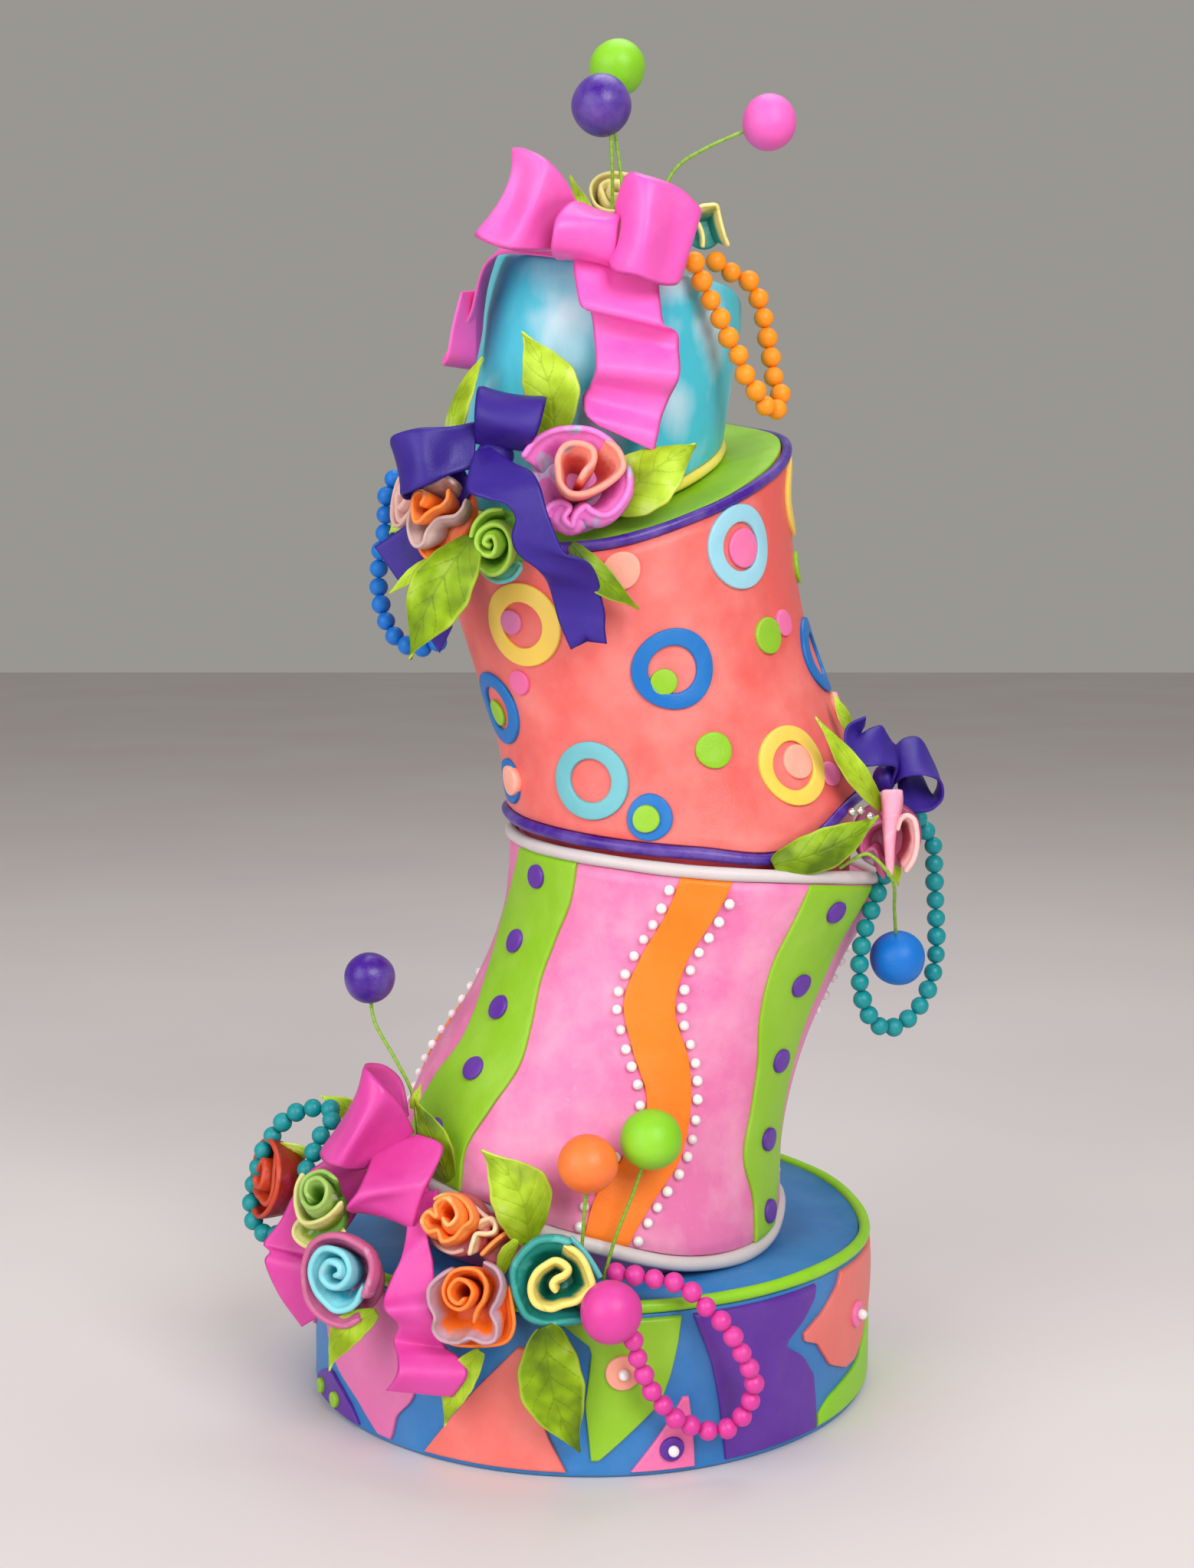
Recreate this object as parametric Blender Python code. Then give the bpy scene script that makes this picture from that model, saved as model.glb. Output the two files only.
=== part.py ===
"""A topsy-turvy wedding cake: four leaning tiers with ropes, cut-outs, roses, bows, leaves and beads.

Tables hold real sizes in millimetres and angles in degrees; the model is in metres, +Z up. The origin is the
centre of the bottom tier on the table. Angle 0 points to the right (+X), 270 to the front (-Y).
Every piece of sugar paste that is stuck on late is trimmed where it would run into what is already there.
"""

import math

import bmesh
import bpy
import numpy as np

MM = 0.001
TAU = 2 * math.pi

SIDES = 24  # flats round each tier
GAP = 0.35  # left between two pieces that touch
TRIM = 0.7  # how much a piece is grown before it cuts its neighbours
PASTE = 2.2  # how far a flat paste cut-out stands out
BITE = 1.5  # how deep a cut-out, button or pearl sinks into its tier
STEP = 0.001  # the small turn or rise by which a wall's slope is read
SHEET = 1.8  # thickness of ribbons and leaves
TOP_SHEET = 2.2  # thickness of the lime sheet on tier three
PEARL = 6.0  # pearl diameter
PEARL_PITCH = 31.2  # every third pearl of a row is made here
BEAD = 10.6  # bead diameter
BEAD_PITCH = 10.4
WIRE = 3.0  # taped florist's wire, diameter
SEAT_ROOM = 1.0  # a rope's seat is cut this much deeper than the rope is thick in radius

# Colours from the photograph, as sRGB hex.
COLOURS = {
    "blue": "3E7CB8",
    "pink": "F08CC4",
    "coral": "F58A80",
    "teal": "45B5C8",
    "lime": "9CCB2A",
    "lime_rope": "8FD814",
    "white": "F4EFEA",
    "purple": "5A2FA0",
    "yellow": "F5E36B",
    "ribbon_pink": "F763C6",
    "ribbon_purple": "4A2FA8",
    "ribbon_magenta": "D63FA4",
    "leaf": "A9C81E",
    "orange": "FF8420",
    "green": "96DC30",
    "magenta": "DE44A2",
    "sky": "1E78C8",
    "turquoise": "0A97A3",
    "bead_orange": "FF8A14",
    "rose_cream": "E8DC98",
    "rose_coral": "EE8FA0",
    "rose_copper": "C98C6A",
    "rose_green": "7FAE3C",
    "rose_mauve": "C98AA0",
    "rose_red": "D8451E",
    "rose_blue": "6FC3D0",
    "rose_orange": "F88C2A",
    "rose_sea": "2A9A88",
}

# Tiers: centre across, centre in depth and radius at five even heights, bottom to top; then the heights of
# the lower and upper rim at the twelve hours, counted from the right side round by the back.
TIER_1 = dict(
    across=(0, 0, 0, 0, 0),
    depth=(0, 0, 0, 0, 0),
    radius=(163, 163, 163, 163, 162),
    foot=(0,) * 12,
    brim=(88, 91, 92, 92, 92, 92, 92, 92, 92, 92, 92, 91),
    middle=92,
)
TIER_2 = dict(
    across=(-1.5, 8.5, 28, 47, 61.5),
    depth=(-22, -17, -11, -5, 0),
    radius=(111.5, 103.5, 96, 98, 108.5),
    foot=(106, 107, 107, 112, 122, 135, 142, 139, 129.5, 115.5, 99.5, 96),
    brim=(291, 293, 300, 308, 313, 318, 321, 319.5, 317, 312.5, 308, 301),
    middle=309,
)
TIER_3 = dict(
    across=(55, 43, 28, 17.5, 11),
    depth=(0, 0, 0, 0, 0),
    radius=(104, 97, 95, 97.5, 101),
    foot=(344, 340, 325, 322, 324, 328, 332.5, 329, 325, 321, 317.5, 342),
    brim=(541, 550, 556, 553, 542, 524, 503, 488, 484, 487, 503, 523),
    middle=521,
)
TIER_4 = dict(
    across=(0.5, 3.5, 6.75, 11, 15.5),
    depth=(0, 0, 0, 0, 0),
    radius=(74.5, 74.5, 74.25, 73, 69.5),
    brim=(621, 624, 628, 633, 639, 643, 646, 644, 639, 634.5, 630.5, 627),
    middle=635,
)
ROPE = dict(tier_1_top=3.4, tier_2_base=4.1, tier_2_top=3.6, tier_3_base=3.4, tier_3_top=3.1, tier_4_base=2.9)
PLUG_INSET = dict(tier_2=13, tier_3=9, tier_4=7)  # how far a tier's foot is set in under its base rope

# Stripes on tier two: the left and right edge at nine even heights, in degrees.
ORANGE_STRIPE = (
    (-91, -89.5, -84, -83, -93, -101.5, -101.5, -98.5, -96.8),
    (-79, -74, -68, -69, -75, -85, -87.3, -84.5, -82),
)
LIME_STRIPE_LEFT = (
    (-152, -159, -158, -155, -159, -164, -167, -162, -157),
    (-128, -130.5, -127.5, -125.2, -128.5, -132, -131.5, -129, -128.7),
)
LIME_STRIPE_RIGHT = (
    (-34.6, -36.5, -43.8, -45.2, -48.5, -55, -58.5, -58.5, -57.9),
    (-21, -17.5, -20, -24, -27, -29, -29, -30, -27.5),
)
STRIPE_SPAN = (0.035, 0.965)
# How far round each stripe is set from the edges above, and, of the lime ones, the heights of the buttons.
ORANGE_TURNS = (0, 104, 175, 240)
PEARLED = (0,)  # the orange stripe with its pearls made here
LIME_STRIPES = (
    (LIME_STRIPE_LEFT, 0, (0.147, 0.34, 0.51, 0.7, 0.91)),
    (LIME_STRIPE_RIGHT, 0, (0.088, 0.292, 0.504, 0.707, 0.904)),
    (LIME_STRIPE_LEFT, 196, ()),
    (LIME_STRIPE_RIGHT, 169, ()),
)
BUTTON = 13.5
MEAN_HEIGHT_OF_TIER_2 = 185.0

# Rounds on tier three: angle, height as a share of the wall, outer diameter, hole diameter, layer.
ROUNDS = (
    (-87.8, 0.905, 20, 0, 1), (-48, 0.855, 45, 26, 1), (-47, 0.847, 21, 0, 1), (-124, 0.735, 47, 26, 1),
    (-128, 0.742, 14, 0, 1), (-132.7, 0.53, 14, 0, 1), (-78.2, 0.58, 44, 26, 1), (-82, 0.545, 14.6, 0, 1),
    (-41.2, 0.563, 20, 0, 1), (-32, 0.56, 15, 0, 1), (-11.2, 0.41, 44, 26, 1), (-73.2, 0.33, 20, 0, 1),
    (-48.6, 0.215, 44, 27, 1), (-46.4, 0.215, 19, 0, 1), (-117, 0.215, 43, 24, 1),
    (-100.6, 0.112, 25, 0, 1), (-101.6, 0.108, 14.6, 0, 2), (-158.4, 0.14, 26, 0, 1),
    (-155, 0.15, 17, 0, 2), (-151.8, 0.41, 42, 25, 1), (-153, 0.39, 15, 0, 1), (-36.3, 0.12, 14, 0, 1),
    (-4.4, 0.86, 44, 26, 1), (-4.2, 0.655, 18, 0, 1), (-8, 0.252, 17, 0, 2),
)
BACK_TURN = 176  # the rings between these angles come again on the back, turned by this much
BACK_FROM, BACK_TO = -125, -60

# Cut-outs on tier one: heights as a share of the wall, then the left and right edge there.
PANELS = {
    "peach_triangle": (
        (0.04, 0.25, 0.5, 0.76), (-123, -117.5, -111, -103.2), (-94.3, -97.8, -100.2, -101.8),
    ),
    "lime_blade": (
        (0.1, 0.26, 0.43, 0.6, 0.77, 0.9),
        (-89.8, -90.3, -90.9, -90.2, -89.6, -95),
        (-88.6, -82.9, -77, -75, -73.7, -72.9),
    ),
    "pink_triangle": ((0.04, 0.17, 0.31, 0.45), (-82.6, -79, -75.5, -72.8), (-70.4, -70.6, -71, -71.6)),
    "purple_banner": (
        (0.04, 0.2, 0.38, 0.52, 0.63, 0.75, 0.9),
        (-64, -64.6, -65.4, -66.2, -67, -68.4, -70.4),
        (-41, -41.2, -42, -45.2, -50.6, -45.2, -41.5),
    ),
    "peach_fishtail": (
        (0.29, 0.38, 0.48, 0.56, 0.64, 0.75, 0.9),
        (-29, -36.2, -39, -41, -45.4, -39, -32.4),
        (-25, -19.5, -16, -11.5, -8, -4, -1.5),
    ),
    "lime_corner": (
        (0.04, 0.12, 0.2, 0.25, 0.37, 0.5, 0.7, 0.9),
        (-40.2, -40.2, -35, -21, -14.5, -9, -4, 1),
        (8, 8, 8, 8, 8, 8, 8, 8),
    ),
    "mauve_petal": (
        (0.04, 0.2, 0.32, 0.45, 0.6, 0.75, 0.9),
        (-134.4, -141.5, -149, -152, -152, -150, -146),
        (-131, -129.5, -125.5, -124, -125, -128, -132),
    ),
    "purple_leaf": (
        (0.04, 0.09, 0.15, 0.2, 0.245), (-163, -162.3, -160.5, -158, -154),
        (-141, -142.5, -146, -149, -152.4),
    ),
    "pink_wedge": ((0.35, 0.5, 0.7, 0.9), (-176, -180, -184, -187), (-170, -166, -162, -158)),
}
BACK_PANELS = (("peach_triangle", 172), ("mauve_petal", 168))
# Small rounds and pearls on tier one: angle, height, diameter.
TIER_1_ROUNDS = ((-84, 0.631, 18.5), (-75, 0.16, 13), (-25.2, 0.6, 14.6))
TIER_1_OVALS = ((-157.5, 0.1, 8.5), (-149.8, 0.1, 8.5))

# Roses: place, then where they face (to the right of the front, and up), diameter, depth.
ROSES = {
    "rose_cream_top": ((15, -22, 673), (-4, 40), 33, 24, "rose_cream"),
    "rose_sea_top": ((63, -30, 657), (8, 4), 26, 22, "rose_sea"),
    "rose_coral": ((-9, -104, 516), (4, 14), 60, 34, "rose_coral"),
    "rose_copper_left": ((-80, -84, 503), (-38, 10), 46, 32, "rose_copper"),
    "rose_green_left": ((-48, -104, 487), (-14, -12), 40, 28, "rose_green"),
    "rose_mauve_left": ((-95, -50, 509), (-62, 14), 34, 26, "rose_mauve"),
    "rose_pink_right": ((163, -66, 326), (-10, 4), 48, 28, "rose_coral"),
    "rose_red_low": ((-174, -70, 132), (-64, 12), 46, 30, "rose_red"),
    "rose_green_low": ((-149, -118, 127), (-42, 24), 44, 30, "rose_green"),
    "rose_blue_low": ((-129, -139, 98), (-26, 4), 47, 30, "rose_blue"),
    "rose_orange_low": ((-70, -143, 131), (-16, 22), 42, 30, "rose_orange"),
    "rose_copper_low": ((-62, -172, 95), (-14, 2), 51, 34, "rose_copper"),
    "rose_sea_low": ((-19, -172, 106), (-4, 8), 52, 32, "rose_sea"),
    "rose_peach_low": ((-46, -139, 122), (4, 24), 36, 26, "rose_orange"),
}
ROSE_SIDES = 9
# A rose's section: share of the radius, share of the depth, how much it waves; the back comes first.
ROSE_SECTION = ((0.40, 0.0, 0.0), (0.98, 0.48, 1.0), (0.88, 0.76, 1.0), (0.60, 0.54, 0.4), (0.42, 0.97, 0.3))
ROSE_HEART = 0.84

# Leaves: base, tip, the way the upper face looks, width, how far the middle bows that way and bends sideways.
LEAVES = {
    "leaf_teal_tier": ((-19, -90, 539), (-36, -84, 597), (-0.2, -1, 0), 31, 5, 7),
    "leaf_left_tip": ((-75, -72, 534), (-58, -56, 586), (-0.8, -0.7, 0), 20, 4, -3),
    "leaf_right_of_rose": ((11, -100, 505), (56, -90, 538), (0.2, -0.8, 0.6), 36, 6, 0),
    "leaf_big_left": ((-61, -108, 489), (-95, -104, 425), (-0.5, -1, 0.1), 36, 8, 1),
    "leaf_under_rose": ((-10, -116, 486), (26, -110, 452), (0.1, -1, 0.3), 15, 5, 4),
    "leaf_right_upper": ((160.5, -66, 340), (121.5, -82, 393), (0.3, -1, 0), 13, 4, -0.5),
    "leaf_right_small": ((145, -44, 380), (136, -38, 401), (0.4, -1, 0.2), 8, 2, 0),
    "leaf_right_lower": ((98, -101, 315), (157, -80, 339), (0.4, -1, 0.2), 23, 4, 4),
    "leaf_low_upright": ((-32, -150, 123), (-57, -146, 172), (0, -1, 0.25), 33, 6, 8),
    "leaf_low_behind": ((-76, -104, 140), (-96, -100, 187), (-0.5, -1, 0.1), 17, 4, 4),
    "leaf_low_front": ((-23, -180, 89), (-5, -172, 18), (0.1, -1, 0), 34, 6, 5),
    "leaf_low_left": ((-112, -150, 85), (-139, -138, 48), (-0.6, -1, 0), 17, 4, 6),
    "leaf_low_point": ((-56, -176, 74), (-76, -160, 27), (-0.4, -1, 0), 16, 3, 3),
}
LEAF_ROWS, LEAF_COLUMNS = 4, 2

# Ribbons: points along one edge, then the points across from them along the other.
RIBBONS = {
    "top_left_loop": (
        (
            (-7, -84, 664), (-13, -98, 673), (-22, -103, 682), (-33, -99, 688), (-40, -91, 690),
            (-38, -84, 690), (-28, -72, 688), (-8, -64, 667),
        ),
        (
            (-19, -84, 639), (-28, -98, 637), (-40, -106, 636), (-52, -100, 640), (-60, -93, 645),
            (-57, -84, 647), (-46, -74, 647), (-20, -66, 644),
        ),
    ),
    "top_right_loop": (
        (
            (13, -84, 662), (19, -101, 675), (30, -109, 673), (46, -103, 668), (57, -93, 660),
            (56, -84, 661), (41, -74, 669), (17, -64, 665),
        ),
        (
            (8, -84, 637), (12, -103, 626), (24, -110, 622), (36, -102, 619), (45, -93, 620),
            (46, -84, 625), (37, -70, 637), (15, -64, 645),
        ),
    ),
    "top_band": (
        (
            (-4, -70, 665), (-10, -96, 662), (-17, -108, 653), (-19, -111, 644), (-20, -104, 636),
            (-18, -84, 634),
        ),
        ((20, -70, 659), (17, -88, 657), (15, -97, 650), (14, -99, 641), (13, -95, 632), (14, -84, 629)),
    ),
    "top_left_tail": (
        (
            (-10, -86, 634), (-26, -80, 637), (-44, -72, 639), (-51, -66, 638), (-56, -62, 634),
            (-59, -60, 628), (-62, -58, 618), (-65, -56, 609), (-72, -54, 597), (-79, -52, 587),
            (-80, -57, 582), (-77, -62, 587), (-74, -63, 602), (-69, -62, 620),
        ),
        (
            (-10, -56, 642), (-27, -48, 644), (-46, -40, 646), (-51, -34, 643), (-54, -30, 636),
            (-57, -28, 626), (-59, -28, 613), (-60, -30, 601), (-62, -32, 589), (-63, -34, 583),
            (-63, -39, 581), (-62, -44, 587), (-62, -46, 603), (-62, -48, 622),
        ),
    ),
    "top_front_tail": (
        (
            (-9, -88, 635), (-8, -92, 624), (-5, -99, 609), (0, -89, 607), (2, -86, 595), (3, -97, 578),
            (0, -88, 569), (-4, -86, 562), (-2, -94, 553), (3, -94, 548),
        ),
        (
            (36, -84, 623), (37, -92, 611), (39, -99, 599), (46, -88, 596), (47, -86, 587),
            (47, -96, 573), (42, -87, 562), (38, -86, 552), (36, -92, 543), (34, -92, 534),
        ),
    ),
    "left_top_loop": (
        (
            (-60, -94, 538), (-60, -108, 551), (-59, -104, 564), (-58, -90, 568), (-58, -84, 562),
            (-59, -82, 546),
        ),
        (
            (-34, -98, 534), (-27, -112, 543), (-23, -108, 558), (-23, -94, 562), (-27, -86, 556),
            (-35, -84, 540),
        ),
    ),
    "left_side_loop": (
        (
            (-59, -94, 550), (-72, -99, 547), (-89, -102, 546), (-102, -96, 543), (-106, -84, 540),
            (-103, -70, 539), (-87, -64, 542), (-62, -74, 548),
        ),
        (
            (-61, -98, 525), (-72, -102, 522), (-85, -106, 516), (-96, -100, 512), (-100, -88, 511),
            (-97, -74, 509), (-83, -68, 514), (-62, -76, 530),
        ),
    ),
    "left_small_tail": (
        ((-69, -88, 530), (-86, -76, 506), (-103, -70, 493), (-117, -66, 484)),
        ((-61, -92, 514), (-76, -80, 494), (-88, -72, 478), (-103, -68, 464)),
    ),
    "left_long_tail": (
        (
            (-60, -102, 534), (-63, -116, 522), (-63, -124, 513), (-54, -130, 509), (-43, -134, 506),
            (-38, -135, 499), (-40, -134, 490), (-37, -133, 481), (-27, -132, 473), (-22, -122, 466),
            (-19, -116, 456), (-16, -115, 445), (-10, -115, 431),
        ),
        (
            (-52, -102, 536), (-40, -118, 528), (-30, -128, 523), (-25, -134, 515), (-22, -137, 504),
            (-18, -138, 493), (-12, -138, 481), (-1, -134, 477), (4, -124, 469), (6, -117, 459),
            (8, -115, 450), (8, -115, 442), (9, -115, 434),
        ),
    ),
    "left_hidden_tail": (
        ((-88, -72, 474), (-95, -76, 466), (-96, -78, 456), (-92, -79, 444), (-81, -80, 427)),
        ((-64, -76, 474), (-68, -80, 464), (-71, -82, 455), (-73, -82, 447), (-74, -81, 441)),
    ),
    "right_curl": (
        (
            (166, -58, 353), (168, -64, 363), (159, -70, 365), (148, -72, 365), (141, -70, 371),
            (139, -66, 380), (142, -62, 387), (152, -58, 391),
        ),
        (
            (171, -40, 356), (172, -42, 368), (166, -46, 379), (162, -48, 385), (157, -48, 384),
            (152, -48, 380), (150, -48, 380), (152, -48, 385),
        ),
    ),
    "right_stub": (
        ((167, -44, 357), (166, -40, 368), (167, -38, 377)),
        ((178, -40, 356), (175, -36, 365), (173, -34, 371)),
    ),
    "right_loop": (
        (
            (169, -56, 353), (172, -62, 357), (178, -66, 359), (185, -67, 359), (191, -66, 357),
            (194, -64, 352), (194, -62, 345), (189, -60, 339), (181, -58, 337), (172, -54, 335),
        ),
        (
            (169, -40, 371), (176, -37, 377), (185, -36, 377), (191, -34, 367), (197, -30, 353),
            (195, -30, 345), (191, -30, 344), (187, -31, 355), (180, -34, 360), (172, -36, 361),
        ),
    ),
    "low_upper_loop": (
        (
            (-95, -104, 169), (-100, -118, 186), (-107, -124, 198), (-116, -122, 206), (-121, -112, 208),
            (-119, -98, 206), (-111, -90, 202), (-103, -86, 192), (-99, -92, 175),
        ),
        (
            (-120, -106, 149), (-129, -122, 153), (-134, -127, 156), (-140, -124, 157), (-145, -114, 158),
            (-146, -100, 158), (-136, -92, 160), (-122, -90, 162), (-113, -94, 161),
        ),
    ),
    "low_lower_loop": (
        (
            (-118, -106, 159), (-120, -120, 152), (-123, -132, 146), (-129, -134, 137), (-128, -122, 131),
            (-120, -108, 135), (-114, -100, 150),
        ),
        (
            (-93, -104, 168), (-79, -118, 166), (-82, -130, 156), (-88, -138, 144), (-93, -138, 127),
            (-92, -124, 125), (-87, -110, 136), (-92, -100, 158),
        ),
    ),
    "low_right_tail": (
        (
            (-99, -124, 140), (-97, -136, 127), (-99, -146, 114), (-104, -150, 104), (-108, -156, 94),
            (-106, -164, 91), (-100, -160, 82), (-103, -156, 72), (-100, -166, 67), (-100, -172, 60),
            (-106, -166, 49),
        ),
        (
            (-81, -122, 143), (-83, -134, 135), (-85, -146, 125), (-82, -152, 113), (-81, -160, 102),
            (-82, -168, 94), (-77, -166, 81), (-75, -160, 70), (-67, -168, 67), (-63, -176, 61),
            (-71, -170, 47),
        ),
    ),
    "low_left_tail": (
        (
            (-143, -100, 153), (-154, -100, 145), (-163, -99, 131), (-170, -96, 117), (-180, -92, 103),
            (-176, -98, 100), (-178, -102, 95), (-171, -100, 76), (-159, -98, 57),
        ),
        (
            (-121, -108, 149), (-123, -104, 133), (-129, -102, 120), (-138, -100, 108), (-150, -100, 98),
            (-150, -106, 95), (-149, -108, 88), (-147, -106, 77), (-144, -104, 68),
        ),
    ),
}
RIBBON_ROWS, RIBBON_COLUMNS = 8, 1
# Bows: the ribbons that a bow joins, then its knot's place and size, and its colour.
BOWS = {
    "bow_pink_top": (
        ("top_left_loop", "top_right_loop", "top_band", "top_left_tail"),
        (-2, -80, 650), (32, 26, 22), "ribbon_pink",
    ),
    "bow_purple_left": (
        ("left_top_loop", "left_side_loop", "left_small_tail"),
        (-50, -92, 532), (24, 18, 22), "ribbon_purple",
    ),
    "bow_purple_right": (
        ("right_curl", "right_stub", "right_loop"),
        (163.5, -50, 355.5), (17, 20, 18), "ribbon_purple",
    ),
    "bow_magenta_low": (
        ("low_upper_loop", "low_lower_loop"),
        (-104, -100, 162), (26, 22, 24), "ribbon_magenta",
    ),
}
TAILS = {
    "tail_pink_front": ("top_front_tail", "ribbon_pink"),
    "tail_purple_long": ("left_long_tail", "ribbon_purple"),
    "tail_purple_hidden": ("left_hidden_tail", "ribbon_purple"),
    "tail_magenta_right": ("low_right_tail", "ribbon_magenta"),
    "tail_magenta_left": ("low_left_tail", "ribbon_magenta"),
}

# Balls on wires: ball place, ball diameter, then the wire from the ball down to where it is stuck in.
PICKS = {
    "pick_green_top": (
        (15, 0, 749),
        31,
        (
            (15, 0, 738), (13, -15, 720), (14, -26, 706), (16, -36, 690), (18, -44, 670), (19, -41, 652),
            (20, -36, 634),
        ),
        "green",
    ),
    "pick_purple_top": (
        (6, -45, 720),
        33,
        ((11, -45, 708), (12, -42, 687), (12, -36, 664), (12, -34, 634)),
        "purple",
    ),
    "pick_pink_top": (
        (100, 0, 719),
        31,
        ((90, 0, 716), (64, -5, 704), (47, -8, 692), (36, -14, 669), (32, -20, 650), (31, -21, 632)),
        "ribbon_pink",
    ),
    "pick_purple_left": (
        (-123, -60, 245),
        28.5,
        ((-123, -60, 234), (-120, -62, 219), (-108, -70, 200), (-98, -82, 184), (-94, -92, 160)),
        "purple",
    ),
    "pick_orange": ((-1, -152, 166), 31, ((-2, -152, 153), (-4, -150, 123), (-6, -147, 97)), "orange"),
    "pick_green_low": (
        (32, -142, 176),
        32,
        ((28, -142, 163), (22, -141, 145), (13, -143, 122), (6, -146, 97)),
        "green",
    ),
    "pick_blue_right": (
        (174, -40, 252),
        31,
        (
            (173, -40, 264), (169, -60, 284), (166, -80, 299), (162, -88, 308), (153, -89, 317.5),
            (147, -88, 318.5), (136, -80, 310),
        ),
        "sky",
    ),
}
MAGENTA_BALL = ((11, -186, 99), 32)
BALL_SIDES, BALL_RINGS, WIRE_SIDES = 8, 4, 3

# Bead strings: points along the thread.
STRINGS = {
    "beads_orange": (
        (52, -72, 638), (58, -68, 631), (60, -66, 624), (64, -64, 616), (69, -62, 608), (73, -60, 598),
        (79, -58, 590), (82, -58, 579), (88, -56, 571), (94, -50, 562), (100, -44, 557), (105, -38, 563),
        (104, -34, 570), (101, -31, 578), (100, -29, 587), (98, -27, 598), (96, -26, 609), (93, -25, 620),
        (88, -26, 629), (77, -28, 634), (67, -34, 640), (60, -42, 643),
    ),
    "beads_blue": (
        (-107, -26, 525), (-111, -29, 518), (-114, -31, 508), (-114, -32, 494), (-117, -29, 482),
        (-119, -26, 464), (-116, -32, 447), (-109, -38, 434), (-97, -46, 428), (-85, -52, 431),
        (-77, -58, 440),
    ),
    "beads_turquoise_right": (
        (184, -28, 334), (191, -22, 323), (196, -20, 315), (197, -22, 294), (198, -24, 272),
        (198, -26, 251), (194, -30, 234), (186, -34, 220), (173, -40, 212), (162, -46, 215),
        (154, -50, 228), (151, -52, 247), (153, -52, 267), (158, -50, 283), (163, -48, 296),
        (168, -46, 308),
    ),
    "beads_turquoise_left": (
        (-158, -96, 141), (-153, -92, 149), (-151, -86, 157), (-146, -80, 165), (-141, -74, 172),
        (-153, -70, 173), (-162, -68, 171), (-171, -66, 165), (-178, -64, 156), (-184, -63, 146),
        (-187, -62, 136), (-190, -62, 126), (-191, -64, 117), (-190, -68, 110), (-185, -74, 104),
        (-177, -80, 103), (-168, -86, 108),
    ),
    "beads_magenta": (
        (10, -156, 110), (14, -160, 110), (22, -163, 110), (33, -166, 109), (43, -168, 108),
        (53, -170, 103), (60, -172, 96), (69, -174, 88), (75, -174, 79), (80, -172, 68), (85, -168, 56),
        (84, -166, 45), (80, -164, 35), (73, -164, 28), (63, -166, 27), (55, -168, 30), (46, -172, 35),
        (40, -174, 42), (33, -176, 51), (28, -178, 62), (24, -180, 74), (22, -182, 84), (21, -184, 95),
    ),
}
STRING_COLOURS = {
    "beads_orange": "bead_orange",
    "beads_blue": "sky",
    "beads_turquoise_right": "turquoise",
    "beads_turquoise_left": "turquoise",
    "beads_magenta": "magenta",
}
BEAD_SIDES = 5
BEAD_SECTION = ((-0.5, 0.5), (0, 1))  # share of the pitch, share of the radius


def through(values, t, closed=False):
    """A smooth curve through evenly spaced values (Catmull-Rom), read at t from 0 to 1."""
    values = np.asarray(values, float)
    t = np.asarray(t, float)
    count = len(values)
    if closed:
        step = (t % 1) * count
        first = np.floor(step).astype(int)
        four = [(first + k) % count for k in (-1, 0, 1, 2)]
    else:
        step = np.clip(t, 0, 1) * (count - 1)
        first = np.minimum(np.floor(step).astype(int), count - 2)
        four = [np.clip(first + k, 0, count - 1) for k in (-1, 0, 1, 2)]
    f = step - first
    if values.ndim > 1:
        f = f[..., None]
    a, b, c, d = (values[i] for i in four)
    return 0.5 * (2 * b + (c - a) * f + (2 * a - 5 * b + 4 * c - d) * f**2 + (3 * b - a - 3 * c + d) * f**3)


def unit(vectors):
    """The same directions with length 1."""
    vectors = np.asarray(vectors, float)
    return vectors / np.linalg.norm(vectors, axis=-1, keepdims=True)


def wall(tier, angle, height, out=0.0, rise=0.0):
    """Points on a tier's wall: angle in radians, height 0 to 1, moved out and up by so many mm."""
    angle, height = np.broadcast_arrays(np.asarray(angle, float), np.asarray(height, float))
    radius = through(tier["radius"], height) + out
    turn = angle / TAU
    z = through(tier["foot"], turn, True) * (1 - height) + through(tier["brim"], turn, True) * height
    x = through(tier["across"], height) + radius * np.cos(angle)
    y = through(tier["depth"], height) + radius * np.sin(angle)
    return np.stack([x, y, z + rise], -1)


def top_height(tier, x, y):
    """How high a tier's top is at x, y: a shallow cone from its middle to its brim."""
    dx = x - tier["across"][-1]
    dy = y - tier["depth"][-1]
    share = np.hypot(dx, dy) / tier["radius"][-1]
    return tier["middle"] + (through(tier["brim"], np.arctan2(dy, dx) / TAU, True) - tier["middle"]) * share


def round_angles(count=SIDES):
    """The angles of the corners round a tier."""
    return np.arange(count) * TAU / count


def linear(hex_colour):
    """An sRGB hex colour as linear red, green, blue and alpha."""
    channels = [int(hex_colour[i : i + 2], 16) / 255 for i in (0, 2, 4)]
    return [c / 12.92 if c <= 0.04045 else ((c + 0.055) / 1.055) ** 2.4 for c in channels] + [1.0]


def paste(colour):
    """Satin fondant in one of the colours."""
    name = "fondant_" + colour
    found = bpy.data.materials.get(name)
    if found:
        return found
    material = bpy.data.materials.new(name)
    material.use_nodes = True
    shader = material.node_tree.nodes["Principled BSDF"]
    shader.inputs["Base Color"].default_value = linear(COLOURS[colour])
    shader.inputs["Roughness"].default_value = 0.45
    shader.inputs["Metallic"].default_value = 0.0
    return material


def place(name, mesh, colour):
    """Links a mesh as the object called name."""
    mesh.materials.clear()
    mesh.materials.append(paste(colour))
    obj = bpy.data.objects.new(name, mesh)
    bpy.context.scene.collection.objects.link(obj)
    return obj


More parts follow.
